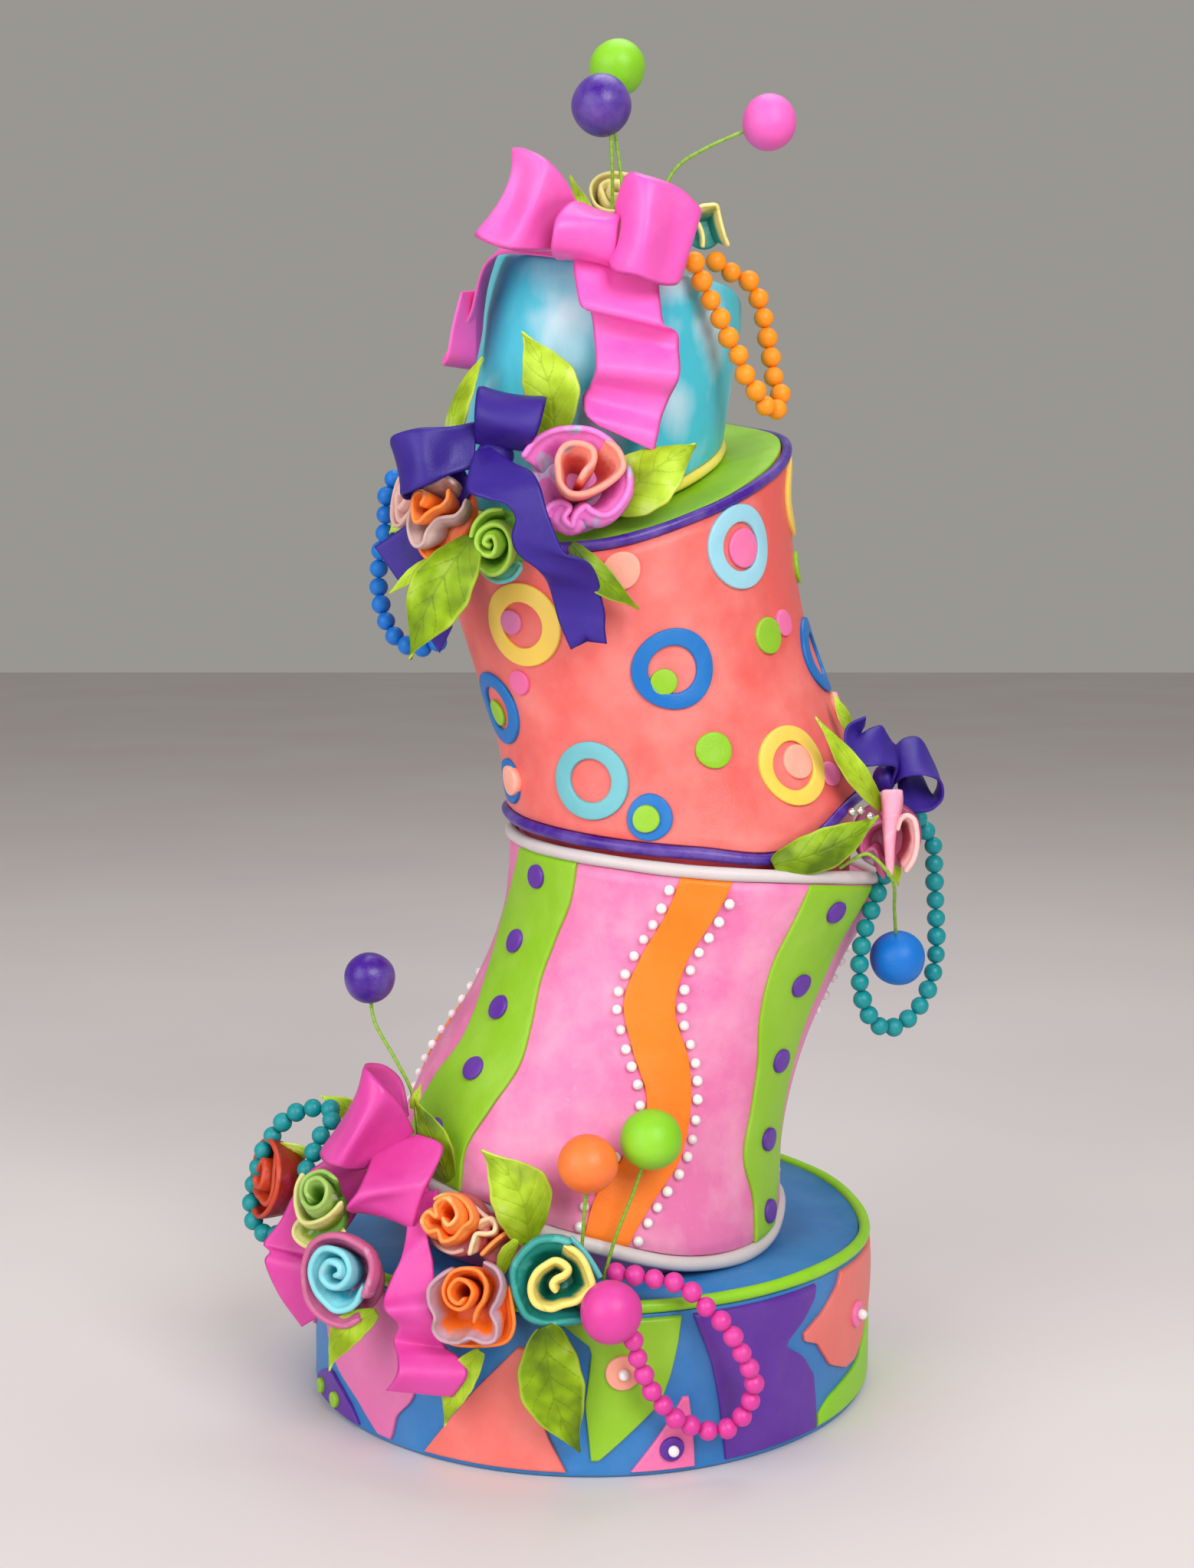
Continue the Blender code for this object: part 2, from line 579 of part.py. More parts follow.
def mesh_of(points, faces):
    """A mesh from points in mm, with its faces turned outwards."""
    mesh = bpy.data.meshes.new("mesh")
    mesh.from_pydata((np.asarray(points) * MM).tolist(), [], faces)
    made = bmesh.new()
    made.from_mesh(mesh)
    bmesh.ops.recalc_face_normals(made, faces=made.faces)
    made.to_mesh(mesh)
    made.free()
    return mesh


def join_meshes(meshes):
    """Several separate shells as one mesh."""
    made = bmesh.new()
    for mesh in meshes:
        made.from_mesh(mesh)
        bpy.data.meshes.remove(mesh)
    joined = bpy.data.meshes.new("mesh")
    made.to_mesh(joined)
    made.free()
    return joined


def bridged(loops, first=None, last=None, ring=False):
    """A closed body: each loop of points is bridged to the next. The ends close on a point or a flat face,
    or, for a ring, the last loop is bridged to the first."""
    size = len(loops[0])
    points = np.concatenate(loops)
    faces = []
    steps = len(loops) if ring else len(loops) - 1
    for k in range(steps):
        lower = k * size
        upper = (k + 1) % len(loops) * size
        for i in range(size):
            j = (i + 1) % size
            faces.append((lower + i, lower + j, upper + j, upper + i))
    if ring:
        return mesh_of(points, faces)
    for end, start, turn in ((first, 0, -1), (last, (len(loops) - 1) * size, 1)):
        corners = list(range(start, start + size))[::turn]
        if end is None:
            faces.append(corners)
            continue
        points = np.concatenate([points, [end]])
        tip = len(points) - 1
        faces += [(corners[i], corners[(i + 1) % size], tip) for i in range(size)]
    return mesh_of(points, faces)


def applied(obj):
    """Gives obj its evaluated mesh and removes its modifiers."""
    evaluated = obj.evaluated_get(bpy.context.evaluated_depsgraph_get())
    mesh = bpy.data.meshes.new_from_object(evaluated)
    obj.modifiers.clear()
    obj.data = mesh
    return obj


def combine(obj, others, operation, solver="MANIFOLD"):
    """One Boolean of obj with a collection of others, applied; the others are then removed."""
    group = bpy.data.collections.new("with_" + obj.name)
    bpy.context.scene.collection.children.link(group)
    for other in others:
        bpy.context.scene.collection.objects.unlink(other)
        group.objects.link(other)
    boolean = obj.modifiers.new("join", "BOOLEAN")
    boolean.operation = operation
    boolean.operand_type = "COLLECTION"
    boolean.collection = group
    boolean.solver = solver
    applied(obj)
    for other in others:
        bpy.data.objects.remove(other)
    bpy.data.collections.remove(group)
    return obj


def islands(made):
    """The separate shells of a bmesh, as lists of faces."""
    left = set(made.faces)
    found = []
    while left:
        shell = {left.pop()}
        edge = list(shell)
        while edge:
            face = edge.pop()
            near = {f for e in face.edges for f in e.link_faces} & left
            left -= near
            shell |= near
            edge += near
        found.append(list(shell))
    return found


def keep_largest(obj):
    """Drops the loose scraps that a cut leaves and keeps the biggest piece."""
    made = bmesh.new()
    made.from_mesh(obj.data)
    shells = islands(made)
    shells.sort(key=lambda shell: sum(f.calc_area() for f in shell))
    for scrap in shells[:-1]:
        bmesh.ops.delete(made, geom=scrap, context="FACES")
    made.to_mesh(obj.data)
    made.free()


def corners_of(obj):
    """The lowest and highest corner of an object's mesh."""
    points = np.empty(len(obj.data.vertices) * 3)
    obj.data.vertices.foreach_get("co", points)
    points = points.reshape(-1, 3)
    return points.min(0), points.max(0)


def grown_copy(obj):
    """A copy of obj grown by the gap, to cut its neighbours with."""
    mesh = obj.data.copy()
    points = np.empty(len(mesh.vertices) * 3)
    normals = np.empty(len(mesh.vertices) * 3)
    mesh.vertices.foreach_get("co", points)
    mesh.vertices.foreach_get("normal", normals)
    mesh.vertices.foreach_set("co", points + normals * TRIM * MM)
    copy = bpy.data.objects.new("grown_" + obj.name, mesh)
    bpy.context.scene.collection.objects.link(copy)
    return copy


def tucked(obj, neighbours):
    """Trims obj where it would run into pieces that are already on the cake."""
    low, high = corners_of(obj)
    near = []
    for other in neighbours:
        other_low, other_high = corners_of(other)
        if (low < other_high + TRIM * MM).all() and (other_low < high + TRIM * MM).all():
            near.append(grown_copy(other))
    if near:
        combine(obj, near, "DIFFERENCE")
        keep_largest(obj)
    return obj


def patch(tier, heights, left, right, out, columns=3):
    """A flat cut-out on a wall, between a left and a right edge given at each height."""
    rows = []
    share = np.linspace(0, 1, columns + 1)
    for height, low, high in zip(heights, np.radians(left), np.radians(right)):
        angles = low + (high - low) * share
        front = wall(tier, angles, height, out)
        back = wall(tier, angles[::-1], height, -BITE)
        rows.append(np.concatenate([front, back]))
    return bridged(rows)


def around(tier, angle, height, diameter, sides, out):
    """A circle of points on a wall, laid out level and square to level on its slope."""
    turn = np.arange(sides) * TAU / sides
    here = wall(tier, angle, height)
    aside = (wall(tier, angle + STEP, height) - here) / STEP
    upward = (wall(tier, angle, height + STEP) - here) / STEP
    level = unit(aside)
    lean = upward @ level
    climb = np.linalg.norm(upward - lean * level)
    up = diameter / 2 * np.sin(turn) / climb
    along = diameter / 2 * np.cos(turn) - up * lean
    return wall(tier, angle + along / np.linalg.norm(aside), height + up, out)


def round_piece(tier, angle, height, diameter, hole=0, layer=1, sides=8):
    """A disc or a ring of paste on a wall; the second layer lies on the first."""
    angle = math.radians(angle)
    out = PASTE * layer
    rims = [around(tier, angle, height, diameter, sides, side) for side in (-BITE, out)]
    if not hole:
        return bridged(rims, wall(tier, angle, height, -BITE), wall(tier, angle, height, out))
    rims += [around(tier, angle, height, hole, sides, side) for side in (out, -BITE)]
    return bridged(rims, ring=True)


def pearl(tier, angle, height, out=0.0):
    """A pearl stuck on a wall."""
    made = bmesh.new()
    bmesh.ops.create_icosphere(made, subdivisions=1, radius=PEARL / 2 * MM)
    centre = wall(tier, math.radians(angle), height, out + PEARL / 2 - BITE) * MM
    bmesh.ops.translate(made, verts=made.verts, vec=centre)
    mesh = bpy.data.meshes.new("mesh")
    made.to_mesh(mesh)
    made.free()
    return mesh


def body_of_tier(name, tier, foot_height=None):
    """A tier's solid: its plug, the seat of its base rope, its wall, the seat of its top rope and its top."""
    base_rope = ROPE.get(name + "_base")
    top_rope = ROPE.get(name + "_top")
    angles = round_angles()
    loops = []
    if base_rope is None:
        loops.append(wall(tier, angles, 0))
        bottom = loops[0].mean(0)
    else:
        seat = base_rope + SEAT_ROOM
        foot = wall(tier, angles, 0, -PLUG_INSET[name])
        foot[:, 2] = foot_height(foot[:, 0], foot[:, 1])
        bottom = np.array([tier["across"][0], tier["depth"][0], 0.0])
        bottom[2] = foot_height(bottom[0], bottom[1])
        loops += [foot, wall(tier, angles, 0, -seat, seat), wall(tier, angles, 0, 0, seat)]
    if name in ("tier_2", "tier_3"):
        loops += [wall(tier, angles, height) for height in (0.25, 0.5, 0.75)]
    if top_rope is None:
        loops.append(wall(tier, angles, 1, -0.6, -2.4))
        loops.append(wall(tier, angles, 1, -3.4, 0))
    else:
        seat = top_rope + SEAT_ROOM
        loops.append(wall(tier, angles, 1, 0, -seat))
        loops.append(wall(tier, angles, 1, -seat, -seat))
        loops.append(wall(tier, angles, 1, -seat))
    top = np.array([tier["across"][-1], tier["depth"][-1], tier["middle"]])
    return place(name, bridged(loops, bottom, top), name_colour(name))


def name_colour(name):
    """The colour of each tier's paste."""
    return {"tier_1": "blue", "tier_2": "pink", "tier_3": "coral", "tier_4": "teal"}[name]


def rope(name, tier, height, thickness, colour):
    """A rolled rope of paste in the seat on a rim: a closed curve with a round bevel."""
    inwards = GAP + thickness - (thickness + SEAT_ROOM)
    rise = inwards if height else -inwards
    points = wall(tier, round_angles(), height, inwards, rise) * MM
    curve = bpy.data.curves.new(name, "CURVE")
    curve.dimensions = "3D"
    curve.twist_mode = "Z_UP"
    line = curve.splines.new("POLY")
    line.points.add(len(points) - 1)
    for spot, point in zip(line.points, points):
        spot.co = (*point, 1)
    line.use_cyclic_u = True
    curve.bevel_depth = thickness * MM
    curve.bevel_resolution = 0
    curve.materials.append(paste(colour))
    obj = bpy.data.objects.new(name, curve)
    bpy.context.scene.collection.objects.link(obj)
    mesh = bpy.data.meshes.new_from_object(obj.evaluated_get(bpy.context.evaluated_depsgraph_get()))
    bpy.data.objects.remove(obj)
    return place(name, mesh, colour)


def frames_along(points):
    """Two directions across a path at each of its points."""
    along = unit(np.gradient(points, axis=0))
    reference = np.array([0.31, -0.9, 0.27])
    side = unit(np.cross(along, reference))
    return side, np.cross(along, side)


def tube(points, radii, sides):
    """A round body along a path, with its own radius at each point."""
    points = np.asarray(points, float)
    side, other = frames_along(points)
    turn = np.arange(sides) * TAU / sides
    loops = [
        p + r * (np.cos(turn)[:, None] * a + np.sin(turn)[:, None] * b)
        for p, r, a, b in zip(points, radii, side, other)
    ]
    return bridged(loops, points[0], points[-1])


def along_path(points, spacing):
    """Positions at an even spacing along a smooth curve through the points."""
    fine = through(points, np.linspace(0, 1, 40 * len(points)))
    length = np.concatenate([[0], np.cumsum(np.linalg.norm(np.diff(fine, axis=0), axis=1))])
    count = int(length[-1] / spacing)
    at = (np.arange(count) + 0.5) * spacing
    return fine, length, at


def bead_string(name):
    """Beads that touch, on a thread: one body with a neck between beads."""
    fine, length, at = along_path(STRINGS[name], BEAD_PITCH)
    stations, radii = [], []
    for centre in at:
        for share, wide in BEAD_SECTION:
            stations.append(centre + share * BEAD_PITCH)
            radii.append(wide * BEAD / 2)
    stations.append(at[-1] + 0.5 * BEAD_PITCH)
    radii.append(BEAD_SECTION[0][1] * BEAD / 2)
    points = np.stack([np.interp(stations, length, fine[:, k]) for k in range(3)], 1)
    return place(name, tube(points, radii, BEAD_SIDES), STRING_COLOURS[name])


def ball(centre, diameter):
    """A rolled ball: rings of points from pole to pole."""
    turn = np.arange(BALL_SIDES) * TAU / BALL_SIDES
    rise = (np.arange(BALL_RINGS) + 1) * math.pi / (BALL_RINGS + 1) - math.pi / 2
    centre = np.asarray(centre, float)
    radius = diameter / 2
    ring = np.stack([np.cos(turn), np.sin(turn), 0 * turn], 1)
    pole = np.array([0, 0, 1.0])
    loops = [centre + radius * (math.cos(a) * ring + math.sin(a) * pole) for a in rise]
    return bridged(loops, centre - (0, 0, radius), centre + (0, 0, radius))


def pick(name):
    """A ball on its wire, joined."""
    centre, diameter, route, colour = PICKS[name]
    points = through(route, np.linspace(0, 1, len(route) + 1))
    wire = tube(points, [WIRE / 2] * len(points), WIRE_SIDES)
    body = place(name, ball(centre, diameter), colour)
    return combine(body, [place("wire", wire, "leaf")], "UNION")


def facing(right, up):
    """The direction so many degrees to the right of the front, and up."""
    right, up = math.radians(right), math.radians(up)
    return np.array([math.sin(right) * math.cos(up), -math.cos(right) * math.cos(up), math.sin(up)])


def rose(name):
    """A folded rose: a waving outer petal, a valley and a bud, turned about the way it faces."""
    centre, look, diameter, depth, colour = ROSES[name]
    forward = facing(*look)
    side = unit(np.cross([0, 0, 1], forward))
    over = np.cross(forward, side)
    turn = np.arange(ROSE_SIDES) * TAU / ROSE_SIDES
    seed = sum(map(ord, name)) % 7
    ripple = 0.10 * np.cos(3 * turn + seed) + 0.06 * np.cos(5 * turn + 2 * seed)
    back = np.asarray(centre, float) - forward * depth / 2
    loops = []
    for wide, deep, wavy in ROSE_SECTION:
        radius = diameter / 2 * wide * (1 + ripple * wavy)
        rise = depth * (deep + 0.5 * wavy * np.roll(ripple, 2))
        ring = np.cos(turn)[:, None] * side + np.sin(turn)[:, None] * over
        loops.append(back + radius[:, None] * ring + rise[:, None] * forward)
    return place(name, bridged(loops, back, back + forward * depth * ROSE_HEART), colour)


def sheet(name, grid, colour):
    """A thin piece: its middle surface in triangles, given its thickness by a Solidify modifier, applied."""
    rows, columns = grid.shape[:2]
    faces = []
    for i in range(rows - 1):
        for j in range(columns - 1):
            a, b = i * columns + j, (i + 1) * columns + j
            faces += [(a, a + 1, b + 1), (a, b + 1, b)]
    mesh = bpy.data.meshes.new(name)
    mesh.from_pydata((grid.reshape(-1, 3) * MM).tolist(), [], faces)
    obj = place(name, mesh, colour)
    thick = obj.modifiers.new("thickness", "SOLIDIFY")
    thick.thickness = SHEET * MM
    thick.offset = 0
    thick.use_even_offset = True
    return applied(obj)


def leaf(name):
    """A leaf: pointed at both ends, folded along its rib, bowed, bent sideways and a little wavy."""
    base, tip, face, width, bow, bend = LEAVES[name]
    base, tip = np.asarray(base, float), np.asarray(tip, float)
    along = tip - base
    across = unit(np.cross(along, face))
    up = unit(np.cross(across, along))
    t = np.linspace(0, 1, LEAF_ROWS + 1)[:, None]
    w = np.linspace(-1, 1, LEAF_COLUMNS + 1)[None, :]
    half = width / 2 * np.sin(math.pi * (0.05 + 0.91 * t) ** 0.8)
    wave = 0.05 * width * np.sin(9 * t + 2 * w)
    rise = bow * np.sin(math.pi * t) + (wave - 0.22 * half) * np.abs(w)
    sideways = bend * np.sin(math.pi * t) + half * w
    grid = base + t[..., None] * along + sideways[..., None] * across + rise[..., None] * up
    return sheet(name, grid, "leaf")


def ribbon_grid(which):
    """A ribbon's middle surface, ruled between its two edges."""
    first, second = (np.asarray(edge, float) for edge in RIBBONS[which])
    t = np.linspace(0, 1, min(len(first), RIBBON_ROWS + 1))
    w = np.linspace(0, 1, RIBBON_COLUMNS + 1)[None, :, None]
    return through(first, t)[:, None] * (1 - w) + through(second, t)[:, None] * w


def knot(centre, size):
    """The gathered middle of a bow: a ball pressed to the given size."""
    mesh = ball((0, 0, 0), 2)
    made = bmesh.new()
    made.from_mesh(mesh)
    bmesh.ops.scale(made, verts=made.verts, vec=np.asarray(size) / 2)
    bmesh.ops.translate(made, verts=made.verts, vec=np.asarray(centre) * MM)
    made.to_mesh(mesh)
    made.free()
    return mesh


def bow(name):
    """The loops and short tails of a bow, joined at its knot."""
    parts, centre, size, colour = BOWS[name]
    body = place(name, knot(centre, size), colour)
    for part in parts:
        combine(body, [sheet(part, ribbon_grid(part), colour)], "UNION")
    return body


def pearl_rows(heights, left, right):
    """Some of the pearls beside both edges of a stripe."""
    step = PEARL_PITCH / MEAN_HEIGHT_OF_TIER_2
    pearls = []
    for edge, start, way in ((left, 0.06, -1), (right, 0.12, 1)):
        for height in np.arange(start, 0.97, step):
            clear = math.degrees(0.6 * PEARL / through(TIER_2["radius"], height))
            pearls.append(pearl(TIER_2, np.interp(height, heights, edge) + way * clear, height))
    return pearls


def stripes_and_pearls():
    """What is stuck on tier two: swaying stripes, buttons on the lime ones, pearls along the orange ones."""
    heights = np.linspace(*STRIPE_SPAN, 9)
    pieces, pearls = [], []
    for turn in ORANGE_TURNS:
        left, right = np.add(ORANGE_STRIPE, turn)
        pieces.append(patch(TIER_2, heights, left, right, PASTE, 1))
        if turn in PEARLED:
            pearls += pearl_rows(heights, left, right)
    for edges, turn, buttons in LIME_STRIPES:
        left, right = np.add(edges, turn)
        pieces.append(patch(TIER_2, heights, left, right, PASTE, 2))
        for height in buttons:
            angle = np.interp(height, heights, (left + right) / 2)
            pieces.append(round_piece(TIER_2, angle, height, BUTTON, layer=2, sides=7))
    return pieces + [join_meshes(pearls)]


def rounds_on_tier_3():
    """The rings and discs, with some of the rings repeated on the back."""
    rings = [item for item in ROUNDS if item[3] and BACK_FROM < item[0] < BACK_TO]
    back = [(item[0] + BACK_TURN, *item[1:]) for item in rings]
    pieces = []
    for angle, height, diameter, hole, layer in (*ROUNDS, *back):
        pieces.append(round_piece(TIER_3, angle, height, diameter, hole, layer, 8 if hole else 7))
    return pieces


def cut_outs_on_tier_1():
    """The coloured panels with their small rounds and pearls, front and back."""
    pieces = []
    for name, turn in [(panel, 0) for panel in PANELS] + list(BACK_PANELS):
        heights, left, right = PANELS[name]
        out = PASTE * (0.8 if name == "lime_corner" else 1)
        columns = 1 + int(max(np.subtract(right, left)) / 24)
        pieces.append(patch(TIER_1, heights, np.add(left, turn), np.add(right, turn), out, columns))
    for angle, height, diameter in TIER_1_ROUNDS:
        pieces.append(round_piece(TIER_1, angle, height, diameter, layer=2, sides=7))
        pieces.append(pearl(TIER_1, angle, height, 2 * PASTE))
    for angle, height, diameter in TIER_1_OVALS:
        pieces.append(round_piece(TIER_1, angle, height, diameter, layer=2, sides=7))
    return pieces


def fuse(obj, meshes):
    """Joins toppings to the tier that they lie on."""
    toppings = [place("topping", mesh, name_colour(obj.name)) for mesh in meshes]
    combine(obj, toppings, "UNION")
    keep_largest(obj)


def top_sheet():
    """The lime sheet on tier three, inside the rope."""
    edge = -(ROPE["tier_3_top"] + SEAT_ROOM)
    angles = round_angles()
    lower = wall(TIER_3, angles, 1, edge, GAP)
    upper = wall(TIER_3, angles, 1, edge - 0.3, GAP + TOP_SHEET)
    middle = np.array([TIER_3["across"][-1], TIER_3["depth"][-1], TIER_3["middle"] + GAP])
    mesh = bridged([lower, upper], middle, middle + (0, 0, TOP_SHEET))
    return place("tier_3_top_sheet", mesh, "lime")


def foot_of_tier_4():
    """The heights of tier four's lower rim, where its base rope lies on the lime sheet."""
    hours = np.arange(12) * TAU / 12
    x = TIER_4["across"][0] + TIER_4["radius"][0] * np.cos(hours)
    y = TIER_4["depth"][0] + TIER_4["radius"][0] * np.sin(hours)
    return top_height(TIER_3, x, y) + TOP_SHEET + ROPE["tier_4_base"] + 3 * GAP


def on_top_of(tier, extra):
    """How high the foot of the next tier stands at x, y."""
    return lambda x, y: top_height(tier, x, y) + extra


def build_cake():
    """The four tiers, the lime sheet and the six ropes."""
    rest = 2 * GAP
    TIER_4["foot"] = foot_of_tier_4()
    tier_1 = body_of_tier("tier_1", TIER_1)
    fuse(tier_1, cut_outs_on_tier_1())
    tier_2 = body_of_tier("tier_2", TIER_2, on_top_of(TIER_1, rest))
    fuse(tier_2, stripes_and_pearls())
    tier_3 = body_of_tier("tier_3", TIER_3, on_top_of(TIER_2, rest))
    fuse(tier_3, rounds_on_tier_3())
    tier_4 = body_of_tier("tier_4", TIER_4, on_top_of(TIER_3, TOP_SHEET + 5 * GAP))
    return [
        tier_1,
        tier_2,
        tier_3,
        tier_4,
        top_sheet(),
        rope("rope_lime_tier_1", TIER_1, 1, ROPE["tier_1_top"], "lime_rope"),
        rope("rope_white_tier_2_base", TIER_2, 0, ROPE["tier_2_base"], "white"),
        rope("rope_white_tier_2_top", TIER_2, 1, ROPE["tier_2_top"], "white"),
        rope("rope_purple_tier_3_base", TIER_3, 0, ROPE["tier_3_base"], "purple"),
        rope("rope_purple_tier_3_top", TIER_3, 1, ROPE["tier_3_top"], "purple"),
        rope("rope_yellow_tier_4", TIER_4, 0, ROPE["tier_4_base"], "yellow"),
    ]


def main():
    """Builds the cake, then sticks each trimming on, trimmed by what is there already."""
    for old in list(bpy.data.objects):
        bpy.data.objects.remove(old)
    made = build_cake()
    for build, names in ((rose, ROSES), (bow, BOWS)):
        for name in names:
            made.append(tucked(build(name), made))
    for name, (route, colour) in TAILS.items():
        made.append(tucked(sheet(name, ribbon_grid(route), colour), made))
    made.append(tucked(place("ball_magenta", ball(*MAGENTA_BALL), "magenta"), made))
    for build, names in ((leaf, LEAVES), (pick, PICKS), (bead_string, STRINGS)):
        for name in names:
            made.append(tucked(build(name), made))
    for obj in made:
        obj.data.shade_smooth()
        obj.data.set_sharp_from_angle(angle=math.radians(40))


main()
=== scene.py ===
"""The looks of a topsy-turvy wedding cake in fondant, sugar paste and beads.

Tables are in millimetres and degrees, in the frame's axes: +X right, -Y front, +Z up. Pieces are made in
metres.
"""

import math

import bpy
import numpy as np
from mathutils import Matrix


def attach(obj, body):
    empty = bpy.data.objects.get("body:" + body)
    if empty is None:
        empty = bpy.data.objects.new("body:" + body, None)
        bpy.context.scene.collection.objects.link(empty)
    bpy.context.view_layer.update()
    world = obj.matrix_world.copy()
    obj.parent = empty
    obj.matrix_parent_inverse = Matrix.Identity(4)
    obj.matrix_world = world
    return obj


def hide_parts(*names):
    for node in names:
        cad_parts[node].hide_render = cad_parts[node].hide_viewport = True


MM = 0.001
TAU = 2 * math.pi

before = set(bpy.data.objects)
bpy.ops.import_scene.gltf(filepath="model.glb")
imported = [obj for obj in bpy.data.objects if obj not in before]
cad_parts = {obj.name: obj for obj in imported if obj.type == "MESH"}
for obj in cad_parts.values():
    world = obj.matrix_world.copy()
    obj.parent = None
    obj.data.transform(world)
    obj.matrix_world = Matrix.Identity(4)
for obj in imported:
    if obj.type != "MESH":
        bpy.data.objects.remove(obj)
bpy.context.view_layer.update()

# Thicknesses.
PASTE = 2.2  # a flat cut-out
SINK = 0.9  # how deep a cut-out or pearl is pressed into its tier
SHEET = 1.9  # ribbons
LEAF_SHEET = 1.5
LIP = 0.9  # rounding of a cut edge
# Pearls, beads and wire.
PEARL = 5.7
PEARL_PITCH = 10.4
PEARL_BITE = 1.2  # how deep a pearl sinks into a small round
SILVER_BEAD = 4.4
BEAD = 10.6
LARGE_BEADS = {"beads_orange": 1.07}  # strings whose beads and pitch are larger by this factor
BEAD_PITCH = 10.4
WIRE = 2.0
ROPE_SEAT_ROOM = 1.0  # how much wider a rope's seat is than the rope
ROPE_GAP = 0.35  # the clear gap between a rope and its seat
# Points round a whole circle.
TIER_STEPS, ROPE_STEPS, SHEET_STEPS, CUP_STEPS, ROUND_STEPS = 288, 400, 240, 60, 48
ROPE_SIDES, WIRE_SIDES = 14, 10
STEP = 0.001  # the small turn or rise by which a wall's slope is read

# Tiers: the middle line's x and y and the radius at five even heights, the heights of the foot and the brim
# at twelve even angles from +X, and the height of the middle of the top. Tier four's foot follows from tier
# three.
TIERS = {
    "tier_1": dict(
        across=(0, 0, 0, 0, 0),
        depth=(0, 0, 0, 0, 0),
        radius=(163, 163, 163, 163, 162),
        foot=(0,) * 12,
        brim=(88, 91, 92, 92, 92, 92, 92, 92, 92, 92, 92, 91),
        middle=92,
    ),
    "tier_2": dict(
        across=(-1.5, 8.5, 28, 47, 61.5),
        depth=(-22, -17, -11, -5, 0),
        radius=(111.5, 103.5, 96, 98, 108.5),
        foot=(106, 107, 107, 112, 122, 135, 142, 139, 129.5, 115.5, 99.5, 96),
        brim=(291, 293, 300, 308, 313, 318, 321, 319.5, 317, 312.5, 308, 301),
        middle=309,
    ),
    "tier_3": dict(
        across=(55, 43, 28, 17.5, 11),
        depth=(0, 0, 0, 0, 0),
        radius=(104, 97, 95, 97.5, 101),
        foot=(344, 340, 325, 322, 324, 328, 332.5, 329, 325, 321, 317.5, 342),
        brim=(541, 550, 556, 553, 542, 524, 503, 488, 484, 487, 503, 523),
        middle=521,
    ),
    "tier_4": dict(
        across=(0.5, 3.5, 6.75, 11, 15.5),
        depth=(0, 0, 0, 0, 0),
        radius=(74.5, 74.5, 74.25, 73, 69.5),
        brim=(621, 624, 628, 633, 639, 643, 646, 644, 639, 634.5, 630.5, 627),
        middle=635,
    ),
}
TOP_SHEET = 2.2  # the lime sheet on tier three

# Ropes: tier, whether at its foot (0) or its brim (1), half the thickness, finish.
ROPES = {
    "rope_lime_tier_1": ("tier_1", 1, 3.4, "lime_rope"),
    "rope_white_tier_2_base": ("tier_2", 0, 4.1, "white"),
    "rope_white_tier_2_top": ("tier_2", 1, 3.6, "white"),
    "rope_purple_tier_3_base": ("tier_3", 0, 3.4, "purple"),
    "rope_purple_tier_3_top": ("tier_3", 1, 3.1, "purple"),
    "rope_yellow_tier_4": ("tier_4", 0, 2.9, "yellow"),
}
# Half the thickness of the rope at each tier's foot and brim.
BASE_ROPE = {tier: thick for tier, at_brim, thick, _ in ROPES.values() if not at_brim}
TOP_ROPE = {tier: thick for tier, at_brim, thick, _ in ROPES.values() if at_brim}

# The plug under a tier: what it stands on, how far over the top of that it begins, and how far in it stands.
PLUGS = {
    "tier_2": ("tier_1", 0.7, 13),
    "tier_3": ("tier_2", 0.7, 9),
    "tier_4": ("tier_3", TOP_SHEET + 1.75, 7),
}

# Tier two's stripes: left and right edge in degrees at nine even heights.
STRIPE_SPAN = (0.022, 0.978)
ORANGE_STRIPE = (
    (-91, -89.5, -84, -83, -93, -101.5, -101.5, -98.5, -96.8),
    (-79, -74, -68, -69, -75, -85, -87.3, -84.5, -82),
)
LIME_STRIPE_LEFT = (
    (-152, -159, -158, -155, -159, -164, -167, -162, -157),
    (-128, -130.5, -127.5, -125.2, -128.5, -132, -131.5, -129, -128.7),
)
LIME_STRIPE_RIGHT = (
    (-34.6, -36.5, -43.8, -45.2, -48.5, -55, -58.5, -58.5, -57.9),
    (-21, -17.5, -20, -24, -27, -29, -29, -30, -27.5),
)
# How far each stripe of a kind is turned round the tier.
ORANGE_TURNS = (0, 104, 175, 240)
LIME_TURNS = (
    (LIME_STRIPE_LEFT, 0),
    (LIME_STRIPE_RIGHT, 0),
    (LIME_STRIPE_LEFT, 196),
    (LIME_STRIPE_RIGHT, 169),
)
# Buttons up the two lime stripes, as shares of the height.
BUTTON_HEIGHTS = ((0.147, 0.34, 0.51, 0.70, 0.91), (0.088, 0.292, 0.504, 0.707, 0.904))
BUTTON = 13.5

